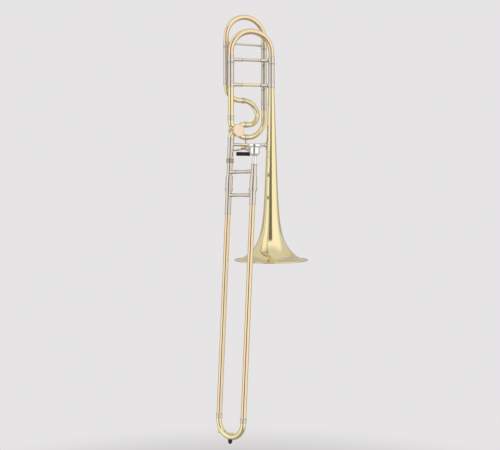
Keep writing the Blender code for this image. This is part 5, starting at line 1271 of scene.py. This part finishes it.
def studio():
    scene = bpy.context.scene
    camera = bpy.data.objects.new("camera", bpy.data.cameras.new("camera"))
    scene.collection.objects.link(camera)
    scene.camera = camera
    camera.data.lens, camera.data.sensor_width = CAMERA_LENS, 36
    camera.data.clip_end = 50
    camera.location = CAMERA
    camera.rotation_euler = (math.radians(CAMERA_TILT), 0, math.radians(CAMERA_TURN))
    scene.view_settings.view_transform = "Standard"
    scene.world = bpy.data.worlds.new("studio")
    scene.world.use_nodes = True
    tent(Shader(scene.world.node_tree))
    softbox("left_softbox", (-1.9, -1.3, 0.9), (0.5, 1.8), 1.2)
    softbox("right_softbox", (1.5, -1.7, 0.8), (0.4, 1.8), 0.9)
    softbox("high_softbox", (0.2, 0.6, 2.4), (1.2, 1.2), 2.0)
    floor()


def tent(world):
    """A white tent of light round the object, with a narrow dark gap a little left of the camera. Its walls
    dim towards the back, its top is even and its foot is grey, and the camera itself sees plain paper. Around
    runs from 0 behind the object to 1 towards the camera, and height from -1 straight down to 1 straight up."""
    direction = world.add("TexCoord")
    height = world.add("SeparateXYZ", {}, {0: direction}, output=2)
    level = world.add("VectorMath", {"operation": "MULTIPLY"}, {0: direction, 1: (1, 1, 0)})
    level = world.add("VectorMath", {"operation": "NORMALIZE"}, {0: level})

    def towards(way):
        """1 where the level direction points this way, -1 where it points the other way."""
        return world.add("VectorMath", {"operation": "DOT_PRODUCT"}, {0: level, 1: tuple(way)}, output=1)

    camera_side = unit((CAMERA[0] - MIDDLE[0], CAMERA[1], 0))
    gap_side = spin("z", GAP_TURN)[:3, :3] @ camera_side
    around = towards(camera_side) * 0.5 + 0.5
    low = world.ramp(around, (0.0, 0.52), (0.10, 0.50), (0.20, 0.36), (0.34, 0.50), (0.50, 0.88), (0.66, 1.0))
    raised = world.ramp(height, (0.02, 0.0), (0.24, 0.66)) * world.ramp(around, (0.03, 0.0), (0.10, 1.0))
    gap = world.ramp(towards(gap_side), (0.934, 0.0), (0.958, 1.0))
    gap = gap * world.ramp(height * height, (0.38, 1.0), (0.47, 0.0))
    walls = low.at_least(raised) * (1 - gap * 0.83)
    walls = walls + (0.69 - walls) * world.ramp(height, (0.76, 0.0), (0.93, 1.0))
    walls = walls + (0.36 - walls) * world.ramp(0 - height, (0.32, 0.0), (0.70, 1.0))
    light = world.add("Background", {}, {"Color": (1.0, 0.995, 0.985), "Strength": walls * 1.10})
    seen = world.add("Background", {}, {"Color": PAPER})
    world.feed(world.tree.nodes["World Output"].inputs[0], world.between(world.add("LightPath"), light, seen))


def softbox(name, at, size, power):
    """A soft lamp that faces the object's middle, its long side upright. The metals show only the tent."""
    lamp = bpy.data.lights.new(name, "AREA")
    lamp.shape, lamp.size, lamp.size_y, lamp.energy = "RECTANGLE", size[0], size[1], power
    obj = bpy.data.objects.new(name, lamp)
    bpy.context.scene.collection.objects.link(obj)
    away = unit(at - MIDDLE)
    across = unit(np.cross(UP, away))
    obj.matrix_world = Matrix(at_place(BELL, at, across, np.cross(away, across), away).tolist())
    obj.visible_glossy = False


def floor():
    """A round pale floor, low enough for the hand slide at its full travel. Near the middle it takes shadows,
    and further out it fades to the paper's own colour. Over that lies a wide soft disc of grey, because the
    photo dims in its last rows, where the camera sees the floor 2.1 to 1.7 m behind the object."""
    s = Finish("studio_paper", PAPER)
    s.set(Base_Color=(0.80, 0.795, 0.80), Roughness=0.9, Metallic=0.0)
    distance = s.add("VectorMath", {"operation": "LENGTH"}, {0: s.place()}, output=1)
    shadowless = 0.76 + ((distance - 0.25) / 0.9).clamped() * 0.24
    # painted shade: a soft grey disc of emission over the floor, full out to 1.64 m from its middle and gone by
    # 2.14 m
    dim = ((2.14 - distance) / 0.50).clamped() ** 1.4 * 0.8
    paper, grey = (s.add("Emission", {}, {"Color": colour}) for colour in (PAPER, (0.56, 0.55, 0.555)))
    surface = Wire(s, s.surface.outputs[0])
    s.feed(s.output, s.between(shadowless, surface, s.between(dim, paper, grey)))
    angle = np.arange(96) * TAU / 96
    rim = FLOOR_RADIUS * np.column_stack((np.cos(angle), np.sin(angle), 0 * angle))
    mesh = bpy.data.meshes.new("studio_floor")
    mesh.from_pydata(rim.tolist(), [], [list(range(len(rim)))])
    mesh.materials.append(s.material)
    obj = bpy.data.objects.new("studio_floor", mesh)
    bpy.context.scene.collection.objects.link(obj)
    obj.location = FLOOR_MIDDLE
    obj.visible_glossy = False


def finish_rotor():
    """Gives the rotor, the one CAD piece that still shows, its own material."""
    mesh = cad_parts["rotor"].data
    mesh.materials.clear()
    mesh.materials.append(machined_brass())


bell()
tuning_slide()
neck()
valve()
valve_back()
f_wrap()
f_tuning_slide()
neck_stay()
bell_stay()
trigger()
receiver()
upper_pipes()
barrels()
outer_slide()
crook()
water_key()
mouthpiece()
finish_rotor()
studio()
